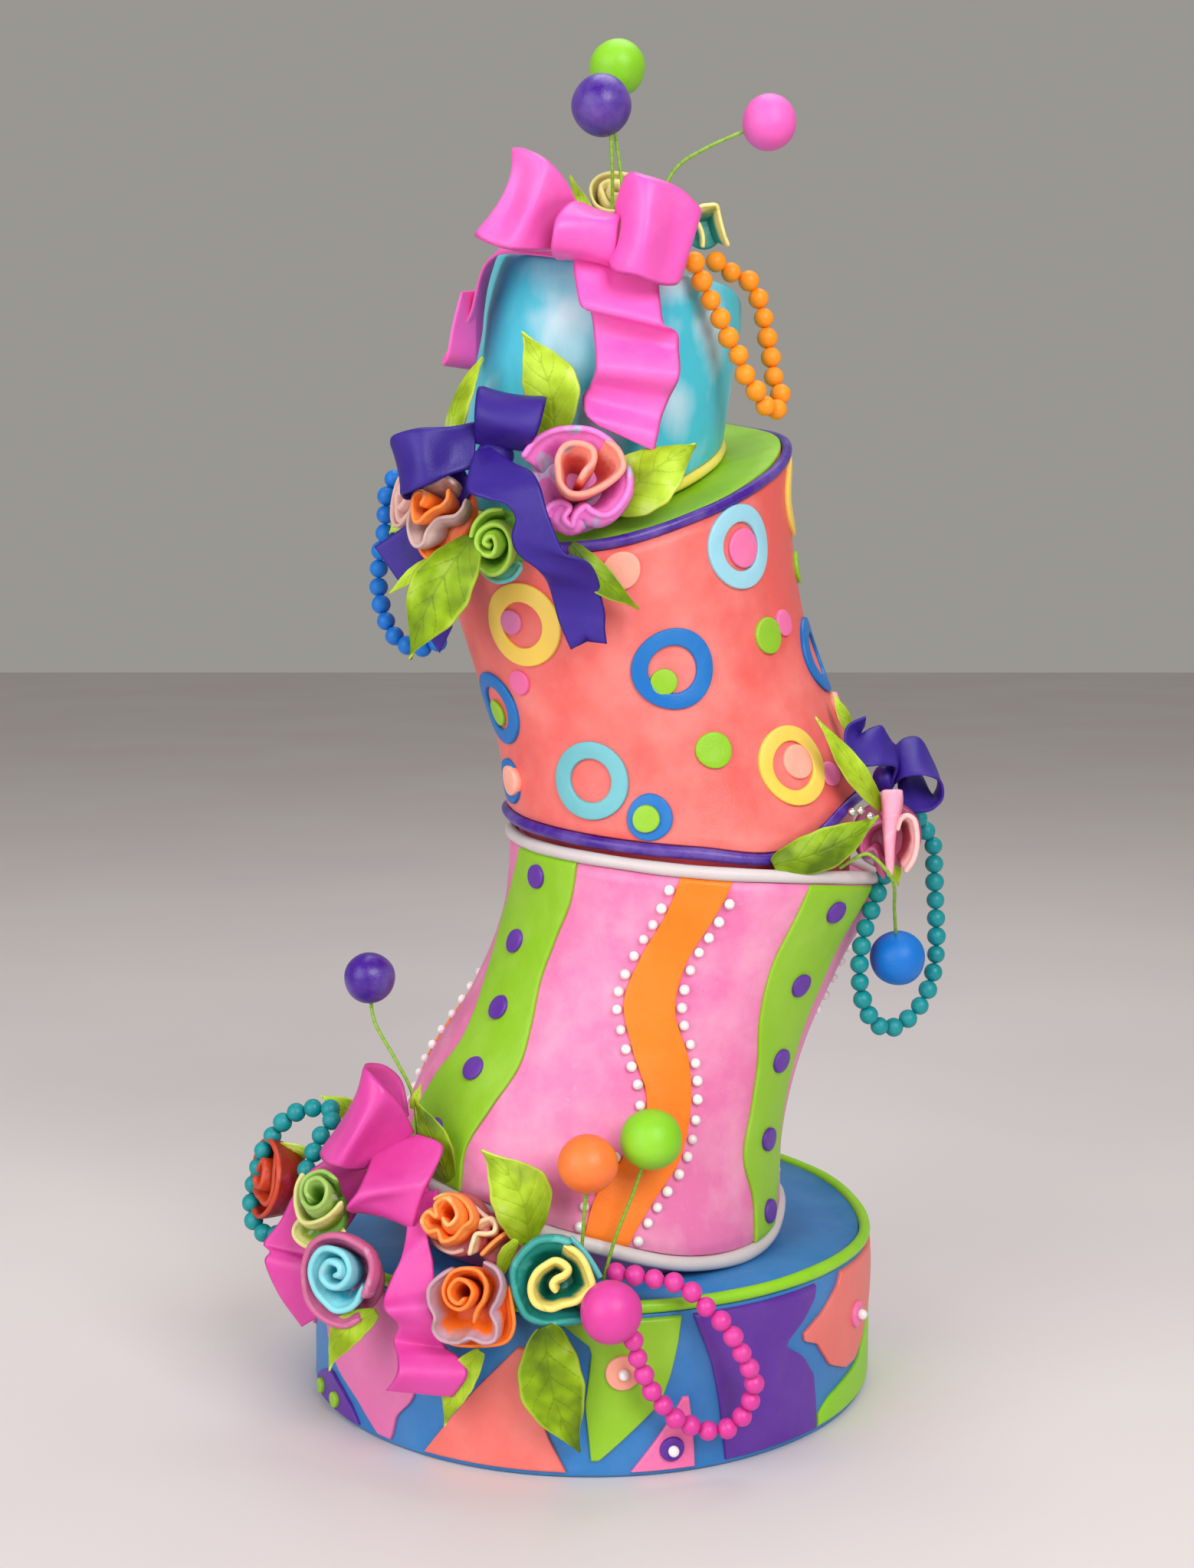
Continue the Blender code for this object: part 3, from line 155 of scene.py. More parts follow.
# Tier three's rounds: angle, height share, outer diameter, hole, finish, layer.
ROUNDS = (
    (-87.8, 0.905, 20, 0, "peach", 1),
    (-48, 0.855, 45, 26, "ice_blue", 1),
    (-47, 0.847, 21, 0, "candy_pink", 1),
    (-124, 0.735, 47, 26, "custard", 1),
    (-128, 0.742, 14, 0, "mauve", 1),
    (-132.7, 0.53, 14, 0, "rose_pink", 1),
    (-78.2, 0.58, 44, 26, "bright_blue", 1),
    (-82, 0.545, 14.6, 0, "lime", 1),
    (-41.2, 0.563, 20, 0, "lime", 1),
    (-32, 0.56, 15, 0, "candy_pink", 1),
    (-11.2, 0.41, 44, 26, "bright_blue", 1),
    (-73.2, 0.33, 20, 0, "lime", 1),
    (-48.6, 0.215, 44, 27, "custard", 1),
    (-46.4, 0.215, 19, 0, "peach", 1),
    (-117, 0.215, 43, 24, "lagoon", 1),
    (-100.6, 0.112, 25, 0, "bright_blue", 1),
    (-101.6, 0.108, 14.6, 0, "lime", 2),
    (-158.4, 0.14, 26, 0, "bright_blue", 1),
    (-155, 0.15, 17, 0, "peach", 2),
    (-151.8, 0.41, 42, 25, "bright_blue", 1),
    (-153, 0.39, 15, 0, "lime", 1),
    (-36.3, 0.12, 14, 0, "candy_pink", 1),
    (-4.4, 0.86, 44, 26, "custard", 1),
    (-4.2, 0.655, 18, 0, "lime", 1),
    (-8, 0.252, 17, 0, "peach", 2),
)
# The rounds between these angles are repeated on the back.
BACK_TURN = 176
BACK_FROM, BACK_TO = -155, -25

# Tier one's cut-outs: finish, heights, left edge, right edge.
PANELS = (
    ("lime_rope", (0.03, 0.12, 0.2, 0.25, 0.37, 0.5, 0.7, 0.92), (-40.2, -40.2, -35, -21, -14.5, -9, -4,
        1), (8, 8, 8, 8, 8, 8, 8, 8)),
    ("coral_pink", (0.03, 0.25, 0.5, 0.76), (-123, -117.5, -111, -103.2), (-94.3, -97.8, -100.2, -101.8)),
    ("lime", (0.1, 0.26, 0.43, 0.6, 0.77, 0.93), (-89.8, -90.3, -90.9, -90.2, -89.6, -96), (-88.6, -82.9,
        -77, -75, -73.7, -72.9)),
    ("candy_pink", (0.03, 0.17, 0.31, 0.45), (-82.6, -79, -75.5, -72.8), (-70.4, -70.6, -71, -71.6)),
    ("grape", (0.03, 0.2, 0.38, 0.52, 0.63, 0.75, 0.86, 0.93), (-64, -64.6, -65.4, -66.2, -67, -68.4,
        -69.8, -70.6), (-41, -41.2, -42, -45.2, -50.6, -45.2, -41.7, -41.2)),
    ("coral_pink", (0.29, 0.38, 0.48, 0.56, 0.61, 0.66, 0.75, 0.86, 0.93), (-29, -36.2, -39, -41, -45,
        -45.2, -39, -33.5, -32), (-25, -19.5, -16, -11.5, -9, -7, -4, -2, -1)),
    ("orchid", (0.03, 0.07, 0.2, 0.32, 0.45, 0.6, 0.75, 0.92), (-134.5, -136, -141.5, -150, -154, -155,
        -152, -148), (-131.5, -130.8, -129.5, -125.5, -124, -125, -128, -132)),
    ("grape", (0.03, 0.07, 0.13, 0.19, 0.245), (-163, -162.5, -161.5, -158.5, -154),
        (-141, -142, -144, -147.5, -152)),
    ("candy_pink", (0.35, 0.5, 0.7, 0.92), (-176, -180, -184, -187), (-170, -166, -162, -158)),
)
THIN_PANEL = 0.72  # the first is this much thinner, as others lie on it
# Which of them the back repeats, and the turn.
PANELS_AGAIN = ((1, 172), (2, 172), (3, 172), (4, 172), (5, 172), (6, 168))
# Small rounds on tier one: angle, height, diameter, finish, with a pearl.
SMALL_ROUNDS = (
    (-84, 0.631, 18.5, "peach", True), (-75, 0.16, 13, "grape", True),
    (-25.2, 0.6, 14.6, "candy_pink", True), (-157.5, 0.1, 9, "lime", False),
    (-149.8, 0.1, 9, "lime", False),
)
SMALL_ROUNDS_TURNS = (0, 172)

# Roses: place, facing (right of the front, up), diameter, depth, half the thickness of a folded strip, the
# cup's paste, record slot.
ROSES = {
    "rose_cream_top": ((15, -22, 673), (-4, 40), 33, 24, 1.4, "cream", "rose_cream"),
    "rose_sea_top": ((63, -30, 657), (8, 4), 26, 22, 1.1, "lemon_lagoon", "rose_sea"),
    "rose_coral": ((-9, -104, 516), (4, 14), 60, 34, 1.8, "orchid_rose", "rose_coral"),
    "rose_copper_left": ((-80, -84, 503), (-38, 10), 46, 32, 1.15, "burnt_orange", "rose_copper"),
    "rose_green_left": ((-48, -104, 487), (-14, -12), 40, 28, 1.3, "leaf_green", "rose_green"),
    "rose_mauve_left": ((-95, -50, 509), (-62, 14), 34, 26, 1.8, "dusky_mauve", "rose_mauve"),
    "rose_pink_right": ((163, -66, 326), (-10, 4), 48, 28, 1.8, "mulberry", "rose_coral"),
    "rose_red_low": ((-174, -70, 132), (-64, 12), 46, 30, 1.8, "ember", "rose_red"),
    "rose_green_low": ((-149, -118, 127), (-42, 24), 44, 30, 1.3, "moss", "rose_green"),
    "rose_blue_low": ((-129, -139, 98), (-26, 4), 47, 30, 1.8, "mulberry", "rose_blue"),
    "rose_orange_low": ((-70, -143, 131), (-16, 22), 42, 30, 1.2, "blush", "rose_orange"),
    "rose_copper_low": ((-62, -172, 95), (-14, 2), 51, 34, 1.1, "burnt_orange", "rose_copper"),
    "rose_sea_low": ((-19, -172, 106), (-4, 8), 52, 32, 1.8, "jade", "rose_sea"),
    "rose_peach_low": ((-46, -139, 122), (4, 24), 36, 26, 1.3, "blush", "rose_orange"),
}
# The strips that each rose is rolled from: paste, how high the lip stands at its start and end as shares of
# the depth, how far the outside bulges, the lip's way over the rose's face, right and up from its middle,
# and half the lip's thickness at its start and end where it isn't the rose's usual one.
STRIPS = {
    "rose_sea_top": (
        ("lemon_lagoon", (1.0, 0.8), 2, ((-9, 6), (-4, 10), (0, 11), (5, 11), (6.5, 6), (9, -3),
            (12, -10.5))),
        ("lemon_lagoon", (0.8, 0.7), 1, ((-11, 5), (-7, 4), (-4, 1), (-2, -5), (-2, -11))),
    ),
    "rose_coral": (
        ("coral", (1.0, 0.8), 1.5, ((3, -1), (6, 4), (10, 9), (10, 15), (6, 18), (0, 19), (-5, 17),
            (-8, 11), (-8, 5), (-7, -2), (-2, -7), (6, -7), (15, -3), (23, 3), (26, 9), (23, 17),
            (17, 22))),
        ("orchid_rose", (0.78, 0.66), 3, ((24, 16), (18, 23), (9, 28), (-2, 29), (-12, 27), (-20, 22),
            (-26, 14))),
        ("orchid_rose", (0.74, 0.52), 8, ((29, 9), (29, -3), (24, -12), (17, -17), (10, -15), (6, -12),
            (1, -17), (-1, -22), (-5, -18), (-2, -12), (-6, -9), (-12, -11), (-15, -16))),
    ),
    "rose_copper_left": (
        ("burnt_orange", (1.0, 0.85), 1, ((-1, 0), (1, 4), (0, 7), (-3, 8), (-7, 6), (-8, 1), (-7, -5),
            (-5, -8), (-2, -7), (1, -4), (6, -1), (11, 1), (14, 5), (13, 10))),
        ("taupe_rose", (0.84, 0.62), 4, ((16, 13), (10, 16), (4, 13), (-3, 11), (-10, 6), (-14, -1),
            (-15, -9), (-12, -17), (-8, -20), (-4, -18), (-3, -13), (-1, -9), (3, -5), (9, -4), (15, -3),
            (19, 1), (20, 6))),
        ("burnt_orange", (0.5, 0.45), 2, ((-15, -15), (-12, -21), (-7, -25), (-2, -25), (4, -23))),
    ),
    "rose_green_left": (
        ("leaf_green", (1.0, 0.7), 3, ((-1, 0), (-4, 2), (-2, 5), (1, 5), (2, 0), (-1, -5), (-6, -4),
            (-9, 1), (-7, 7), (0, 11), (6, 9), (9, 2), (8, -7), (3, -14), (-3, -16), (-9, -13), (-13, -6),
            (-13, 3), (-10, 11), (-3, 17), (5, 18))),
        ("lagoon_rose", (0.5, 0.45), 2, ((-13, -12), (-8, -19), (-2, -22), (6, -20), (11, -14))),
    ),
    "rose_blue_low": (
        ("pool_blue", (1.0, 0.76), 2, ((0, 6), (4, 8), (3, 12), (-3, 13), (-7, 9), (-8, 4), (-4, 0),
            (2, 0), (7, 5), (8, 11), (4, 17), (-4, 19), (-11, 17), (-16, 10), (-17, 3), (-14, -5),
            (-9, -10), (-2, -14), (6, -12), (11, -7), (14, 1))),
        ("mulberry", (0.86, 0.74), 5, ((16, -4), (19, 3), (21, 12), (18, 20), (10, 24), (0, 26), (-10, 24),
            (-18, 18), (-22, 8), (-22, -3), (-19, -13), (-10, -20), (2, -22), (12, -17))),
    ),
    "rose_copper_low": (
        ("burnt_orange", (1.0, 0.8), 1.5, ((2, 11), (-1, 8), (-5, 10), (-6, 15), (-2, 20), (3, 19),
            (6, 14), (3, 7), (-2, 4), (-8, 7), (-10, 14), (-6, 22), (1, 25), (8, 24), (12, 18), (11, 10),
            (7, 3), (5, -4))),
        ("lilac_rose", (0.8, 0.6), 5, ((-7, 23), (-14, 18), (-19, 12), (-19, 4), (-16, -3), (-17, -10),
            (-13, -15), (-5, -16), (2, -13), (9, -15), (15, -13), (16, -6), (13, 1), (16, 8), (18, 16),
            (15, 23), (8, 26))),
        ("burnt_orange", (0.5, 0.42), 3, ((-16, -14), (-11, -19), (-3, -20), (9, -19), (19, -16), (23, -8),
            (22, 2), (20, 13))),
    ),
    "rose_sea_low": (
        ("lemon_jade", (1.0, 0.8), 1.5, ((3, 1), (1, 5), (3, 8), (7, 10), (9, 13), (6, 16), (2, 17),
            (-2, 15), (-7, 11), (-10, 5), (-10, -1), (-7, -6), (0, -8), (6, -6), (13, -4), (18, 0),
            (21, 4), (19, 11), (16, 17), (12, 21), (6, 24))),
        ("jade", (0.84, 0.58), 6, ((10, 25), (3, 27), (-6, 26), (-12, 22), (-17, 16), (-20, 9), (-19, 0),
            (-16, -8), (-12, -14), (-3, -17), (7, -16), (16, -15))),
        ("lagoon_rose", (0.46, 0.42), 1, ((8, 26), (15, 19), (20, 12), (24, 5))),
    ),
    "rose_orange_low": (
        ("tangerine", (1.0, 0.7), 4, ((-4, 2), (0, -2), (4, 3), (1, 9), (-4, 12), (-9, 8), (-8, 2),
            (-13, 4), (-16, -1), (-12, -6), (-7, -5), (-4, -10), (2, -8), (6, -2), (10, 2), (8, 8),
            (2, 13), (-6, 14), (-13, 11))),
        ("blush", (0.62, 0.45), 2, ((-3, 13), (3, 12), (9, 9), (15, 5), (21, 2))),
        ("blush", (0.4, 0.36), 3, ((-16, -5), (-11, -12), (-3, -15), (4, -13))),
    ),
    "rose_pink_right": (
        ("shell_pink", (1.0, 0.94), 1, ((2.9, 26), (3.2, 17), (2.1, 8), (2, -5), (2.8, -22)), (6.0, 1.7)),
        ("pearl_mauve", (0.8, 0.7), 1, ((6, 3), (7.6, 9), (11, 11.5), (15, 9.5), (16.6, 4), (17, -4),
            (15, -13), (10.5, -20)), (1.5, 1.5)),
        ("mulberry", (0.6, 0.5), 4, ((-2, 8), (-9, 4.5), (-13.5, -3), (-12.5, -10), (-7, -7.5), (-4, -13),
            (-1, -24)), (1.3, 1.2)),
    ),
    "rose_peach_low": (
        ("peach_rose", (1.0, 0.9), 1, ((-18, -10), (-16, -3), (-14, 1), (-9, 1), (-5, 2), (-4, 6), (-6, 9),
            (-11, 8), (-15, 5))),
        ("tangerine", (0.9, 0.7), 1, ((-12, -10), (-6, -4), (-1, 0), (2, 2), (1, 5), (-3, 5))),
    ),
    "rose_green_low": (
        ("moss", (1.0, 0.8), 3, ((7, 9), (3, 12), (3, 17), (9, 20), (16, 17), (17, 10), (12, 5), (4, 4),
            (-3, 9), (-5, 16), (-1, 21), (7, 24), (17, 22))),
        ("lemon", (0.8, 0.66), 3, ((-9, 20), (-11, 14), (-11, 9), (-8, 2), (-2, -4), (5, -4), (13, 0),
            (18, 5), (22, 12))),
        ("lemon", (0.52, 0.44), 3, ((-8, -2), (-12, -8), (-11, -13), (-4, -16), (4, -16), (11, -11),
            (20, -7), (24, -2))),
    ),
}
# Roses rolled in a plain coil: paste, turns, start in radians, pleats, depth of a pleat, bulge.
COILS = {
    "rose_cream_top": ("cream", 2.1, 0.3, 3, 0.13, 3),
    "rose_mauve_left": ("dusky_mauve", 1.9, 0.0, 3, 0.10, 2),
    "rose_red_low": ("ember", 1.7, 3.2, 3, 0.15, 2),
}
# The cup behind a rose: radius and height as shares of the rose's, and how far up the paste it counts as.
SHALLOW_CUP = (
    (0.3, 0.0, 0), (0.55, 0.02, 0.1), (0.74, 0.14, 0.3), (0.8, 0.28, 0.5), (0.7, 0.32, 0.3), (0.2, 0.3, 0),
)
DEEP_CUP = (
    (0.15, 0.0, 0), (0.45, 0.03, 0.1), (0.68, 0.14, 0.2), (0.84, 0.32, 0.3), (0.92, 0.55, 0.4),
    (0.97, 0.74, 0.7), (0.97, 0.8, 1), (0.93, 0.84, 1), (0.88, 0.82, 1), (0.84, 0.74, 0.7),
    (0.72, 0.42, 0.3), (0.3, 0.3, 0),
)
# Rose pastes: lip, wall, and the marbling that runs through both.
ROSE_PASTES = {
    "coral": ("FF9C88", "D85A50", "A0A4A8"),
    "orchid_rose": ("F27ED2", "C850A4", "88C4D0"),
    "burnt_orange": ("FB8430", "DC5A0C", "C08470"),
    "taupe_rose": ("C8A8A4", "A8847E", "E09058"),
    "leaf_green": ("A2CC44", "5C9A1E", "C4DC7C"),
    "lagoon_rose": ("62C6CC", "1FA0A0", "9CC850"),
    "pool_blue": ("84D2DC", "2FA6BC", "B8B8D4"),
    "mulberry": ("C4608C", "A4486E", "C8A8C0"),
    "lilac_rose": ("BE98A8", "F0741E", "A88478"),
    "lemon": ("D4D084", "8C9C28", "C4D07C"),
    "jade": ("2C9A92", "0A7462", "64C2C0"),
    "tangerine": ("FF9444", "F46A08", "FFBE78"),
    "blush": ("E8BCAC", "C45C64", "E8A0B0"),
    "peach_rose": ("F4D2A8", "CC5C58", "F0A478"),
    "moss": ("9CC060", "5A8A24", "D4E2C4"),
    "lemon_jade": ("F2DC76", "107864", "8CA428"),
    "cream": ("E4D68C", "B8A85C", "F0E6B0"),
    "lemon_lagoon": ("F4E68C", "34988C", "B8BC50"),
    "dusky_mauve": ("EABCB2", "C89890", "F4CCC0"),
    "shell_pink": ("FFA4BE", "F07CA0", "FFC0D0"),
    "pearl_mauve": ("F0BEBA", "9C484D", "B0B4BC"),
    "ember": ("C8401C", "901C0E", "A02040"),
}

# Leaves: base, tip, the way the upper face looks, width, bow of the middle, curl of the tip, bend to its
# right.
LEAVES = {
    "leaf_teal_tier": ((-19, -90, 539), (-36, -84, 597), (-0.2, -1, 0), 31, 5, 0.1, 7),
    "leaf_left_tip": ((-75, -72, 534), (-58, -56, 586), (-0.8, -0.7, 0), 20, 4, 0.1, -3),
    "leaf_right_of_rose": ((11, -100, 505), (56, -90, 538), (0.2, -0.8, 0.6), 36, 6, 0.2, 0),
    "leaf_big_left": ((-61, -108, 489), (-95, -104, 425), (-0.5, -1, 0.1), 36, 8, 0.1, 1),
    "leaf_under_rose": ((-10, -116, 486), (26, -110, 452), (0.1, -1, 0.3), 15, 5, 0.3, 4),
    "leaf_right_upper": ((160.5, -66, 340), (121.5, -82, 393), (0.3, -1, 0), 13, 4, 0.2, -0.5),
    "leaf_right_small": ((145, -44, 380), (136, -38, 401), (0.4, -1, 0.2), 8, 2, 0.2, 0),
    "leaf_right_lower": ((98, -101, 315), (157, -80, 339), (0.4, -1, 0.2), 23, 4, 0.2, 4),
    "leaf_low_upright": ((-32, -150, 123), (-57, -146, 172), (0, -1, 0.25), 33, 6, 0.1, 8),
    "leaf_low_behind": ((-76, -104, 140), (-96, -100, 187), (-0.5, -1, 0.1), 17, 4, 0.2, 4),
    "leaf_low_front": ((-23, -180, 89), (-5, -172, 18), (0.1, -1, 0), 34, 6, 0.0, 5),
    "leaf_low_left": ((-112, -150, 85), (-139, -138, 48), (-0.6, -1, 0), 17, 4, 0.2, 6),
    "leaf_low_point": ((-56, -176, 74), (-76, -160, 27), (-0.4, -1, 0), 16, 3, 0.1, 3),
}
# Slivers of leaf that show between the larger pieces.
SLIVERS = {
    "leaf_sliver_top": ((4, -34, 648), (-11, -34, 685), (0.3, -1, 0), 11, 1, 0.1, 0),
    "leaf_sliver_behind_bow": ((-122, -60, 162), (-152, -55, 176), (-0.2, -1, 0.2), 14, 2, 0.1, 0),
    "leaf_sliver_over_red_rose": ((-152, -74, 146), (-179, -66, 152), (-0.2, -1, -0.5), 9, 2, 0.1, 2),
    "leaf_sliver_left_wire": ((-97, -100, 181), (-92, -98, 194), (0, -1, 0), 5, 1, 0.1, 0),
    "leaf_sliver_by_sea_rose": ((-47, -152, 105), (-34, -148, 128), (0, -1, 0), 8, 2, 0.1, -3),
    "leaf_sliver_below_tail": ((-84, -82, 478), (-108, -78, 459), (-0.2, -1, 0.3), 8, 1, 0.2, 0),
    "leaf_sliver_by_mauve_rose": ((-100, -46, 502), (-111, -42, 491), (-0.3, -1, 0.2), 8, 1, 0.1, 0),
    "leaf_sliver_right_wire": ((168, -62, 313), (171, -60, 297), (0, -1, 0), 6, 1, 0.1, 0),
}

# Ribbons: points along one edge, and those across from them along the other; then how deep a notch ends
# them.
RIBBONS = {
    "top_left_loop": (
        ((-7, -84, 664), (-13, -98, 673), (-22, -103, 682), (-33, -99, 688), (-40, -91, 690),
            (-38, -84, 690), (-28, -72, 688), (-8, -64, 667)),
        ((-19, -84, 639), (-28, -98, 637), (-40, -106, 636), (-52, -100, 640), (-60, -93, 645),
            (-57, -84, 647), (-46, -74, 647), (-20, -66, 644)),
    ),
    "top_right_loop": (
        ((13, -84, 662), (19, -101, 675), (30, -109, 673), (46, -103, 668), (57, -93, 660), (56, -84, 661),
            (41, -74, 669), (17, -64, 665)),
        ((8, -84, 637), (12, -103, 626), (24, -110, 622), (36, -102, 619), (45, -93, 620), (46, -84, 625),
            (37, -70, 637), (15, -64, 645)),
    ),
    "top_band": (
        ((-4, -70, 665), (-10, -96, 662), (-17, -108, 653), (-19, -111, 644), (-20, -104, 636),
            (-18, -84, 634)),
        ((20, -70, 659), (17, -88, 657), (15, -97, 650), (14, -99, 641), (13, -95, 632), (14, -84, 629)),
    ),
    "top_left_tail": (
        ((-10, -86, 634), (-26, -80, 637), (-44, -72, 639), (-51, -66, 638), (-56, -62, 634),
            (-59, -60, 628), (-62, -58, 618), (-65, -56, 609), (-72, -54, 597), (-79, -52, 587),
            (-80, -57, 582), (-77, -62, 587), (-74, -63, 602), (-69, -62, 620)),
        ((-10, -56, 642), (-27, -48, 644), (-46, -40, 646), (-51, -34, 643), (-54, -30, 636),
            (-57, -28, 626), (-59, -28, 613), (-60, -30, 601), (-62, -32, 589), (-63, -34, 583),
            (-63, -39, 581), (-62, -44, 587), (-62, -46, 603), (-62, -48, 622)),
    ),
    "top_front_tail": (
        ((-9, -88, 635), (-8, -92, 624), (-5, -99, 609), (0, -89, 607), (2, -86, 595), (3, -97, 578),
            (0, -88, 569), (-4, -86, 562), (-2, -94, 553), (3, -94, 548)),
        ((36, -84, 623), (37, -92, 611), (39, -99, 599), (46, -88, 596), (47, -86, 587), (47, -96, 573),
            (42, -87, 562), (38, -86, 552), (36, -92, 543), (34, -92, 534)),
    ),
    "left_top_loop": (
        ((-60, -94, 538), (-60, -108, 551), (-59, -104, 564), (-58, -90, 568), (-58, -84, 562),
            (-59, -82, 546)),
        ((-34, -98, 534), (-27, -112, 543), (-23, -108, 558), (-23, -94, 562), (-27, -86, 556),
            (-35, -84, 540)),
    ),
    "left_side_loop": (
        ((-59, -94, 550), (-72, -99, 547), (-89, -102, 546), (-102, -96, 543), (-106, -84, 540),
            (-103, -70, 539), (-87, -64, 542), (-62, -74, 548)),
        ((-61, -98, 525), (-72, -102, 522), (-85, -106, 516), (-96, -100, 512), (-100, -88, 511),
            (-97, -74, 509), (-83, -68, 514), (-62, -76, 530)),
    ),
    "left_small_tail": (
        ((-69, -88, 530), (-86, -76, 506), (-103, -70, 493), (-117, -66, 484)),
        ((-61, -92, 514), (-76, -80, 494), (-88, -72, 478), (-103, -68, 464)),
    ),
    "left_long_tail": (
        ((-60, -102, 534), (-63, -116, 522), (-63, -124, 513), (-54, -130, 509), (-43, -134, 506),
            (-38, -135, 499), (-40, -134, 490), (-37, -133, 481), (-27, -132, 473), (-22, -122, 466),
            (-19, -116, 456), (-16, -115, 445), (-10, -115, 431)),
        ((-52, -102, 536), (-40, -118, 528), (-30, -128, 523), (-25, -134, 515), (-22, -137, 504),
            (-18, -138, 493), (-12, -138, 481), (-1, -134, 477), (4, -124, 469), (6, -117, 459),
            (8, -115, 450), (8, -115, 442), (9, -115, 434)),
    ),
    "left_hidden_tail": (
        ((-88, -72, 474), (-95, -76, 466), (-96, -78, 456), (-92, -79, 444), (-81, -80, 427)),
        ((-64, -76, 474), (-68, -80, 464), (-71, -82, 455), (-73, -82, 447), (-74, -81, 441)),
    ),
    "right_curl": (
        ((166, -58, 353), (168, -64, 363), (159, -70, 365), (148, -72, 365), (141, -70, 371),
            (139, -66, 380), (142, -62, 387), (152, -58, 391)),
        ((171, -40, 356), (172, -42, 368), (166, -46, 379), (162, -48, 385), (157, -48, 384),
            (152, -48, 380), (150, -48, 380), (152, -48, 385)),
    ),
    "right_stub": (
        ((167, -44, 357), (166, -40, 368), (167, -38, 377)),
        ((178, -40, 356), (175, -36, 365), (173, -34, 371)),
    ),
    "right_loop": (
        ((169, -56, 353), (172, -62, 357), (178, -66, 359), (185, -67, 359), (191, -66, 357),
            (194, -64, 352), (194, -62, 345), (189, -60, 339), (181, -58, 337), (172, -54, 335)),
        ((169, -40, 371), (176, -37, 377), (185, -36, 377), (191, -34, 367), (197, -30, 353),
            (195, -30, 345), (191, -30, 344), (187, -31, 355), (180, -34, 360), (172, -36, 361)),
    ),
    "low_upper_loop": (
        ((-95, -104, 169), (-100, -118, 186), (-107, -124, 198), (-116, -122, 206), (-121, -112, 208),
            (-119, -98, 206), (-111, -90, 202), (-103, -86, 192), (-99, -92, 175)),
        ((-120, -106, 149), (-129, -122, 153), (-134, -127, 156), (-140, -124, 157), (-145, -114, 158),
            (-146, -100, 158), (-136, -92, 160), (-122, -90, 162), (-113, -94, 161)),
    ),
    "low_lower_loop": (
        ((-118, -106, 159), (-120, -120, 152), (-123, -132, 146), (-129, -134, 137), (-128, -122, 131),
            (-120, -108, 135), (-114, -100, 150)),
        ((-93, -104, 168), (-79, -118, 166), (-82, -130, 156), (-88, -138, 144), (-93, -138, 127),
            (-92, -124, 125), (-87, -110, 136), (-92, -100, 158)),
    ),
    "low_right_tail": (
        ((-99, -124, 140), (-97, -136, 127), (-99, -146, 114), (-104, -150, 104), (-108, -156, 94),
            (-106, -164, 91), (-100, -160, 82), (-103, -156, 72), (-100, -166, 67), (-100, -172, 60),
            (-106, -166, 49)),
        ((-81, -122, 143), (-83, -134, 135), (-85, -146, 125), (-82, -152, 113), (-81, -160, 102),
            (-82, -168, 94), (-77, -166, 81), (-75, -160, 70), (-67, -168, 67), (-63, -176, 61),
            (-71, -170, 47)),
    ),
    "low_left_tail": (
        ((-143, -100, 153), (-154, -100, 145), (-163, -99, 131), (-170, -96, 117), (-180, -92, 103),
            (-176, -98, 100), (-178, -102, 95), (-171, -100, 76), (-159, -98, 57)),
        ((-121, -108, 149), (-123, -104, 133), (-129, -102, 120), (-138, -100, 108), (-150, -100, 98),
            (-150, -106, 95), (-149, -108, 88), (-147, -106, 77), (-144, -104, 68)),
    ),
}
NOTCHED = {"left_long_tail": 0.05}
# How far a ribbon's middle line swings off the straight line between its edges.
SWINGS = {
    "top_left_loop": ((0, 0, 0), (2, 6, 0), (2, -3, 0), (4, 5, 0), (7, 0, 1), (7, 0, 1), (3, 0, 0),
        (0, 0, 0)),
    "top_right_loop": ((4, 0, 0), (4, -2, 0), (2, -4, 0), (1, 3, 0), (0, 0, 0), (0, 0, 0), (0, 0, 0),
        (0, 0, 0)),
    "top_band": ((0, 0, -2), (2, 0, -4), (2, -1, 0), (1, 0, 0), (0, 0, 1), (0, 0, 2)),
    "low_upper_loop": ((0, 0, 0), (0, 6, 0), (-1, -3, 0), (1, 3, -1), (4, 0, -2), (3, 0, 0), (0, 0, 0),
        (0, 0, 0), (0, 0, 0)),
    "low_lower_loop": ((0, 0, 0), (0, 5, 0), (0, -4, 0), (0, 3, 3), (0, 0, 2), (0, 0, 0), (0, 0, 0)),
    "left_side_loop": ((0, 0, 0), (0, 3, 0), (0, -2, 0), (2, 0, 0), (2, 0, 0), (0, 0, 0), (0, 0, 0),
        (0, 0, 0)),
    "left_top_loop": ((0, 0, 0), (0, -3, 0), (0, 0, -1), (0, 0, -2), (0, 0, 0), (0, 0, 0)),
}
# Bows and loose tails: node, ribbons, finish.
BOWS = (
    ("bow_pink_top", ("top_left_loop", "top_right_loop", "top_band", "top_left_tail"), "ribbon_pink"),
    ("bow_purple_left", ("left_top_loop", "left_side_loop", "left_small_tail"), "ribbon_purple"),
    ("bow_purple_right", ("right_curl", "right_stub", "right_loop"), "ribbon_purple"),
    ("bow_magenta_low", ("low_upper_loop", "low_lower_loop"), "ribbon_magenta"),
    ("tail_pink_front", ("top_front_tail",), "ribbon_pink"),
    ("tail_purple_long", ("left_long_tail",), "ribbon_purple"),
    ("tail_purple_hidden", ("left_hidden_tail",), "ribbon_purple"),
    ("tail_magenta_right", ("low_right_tail",), "ribbon_magenta"),
    ("tail_magenta_left", ("low_left_tail",), "ribbon_magenta"),
)
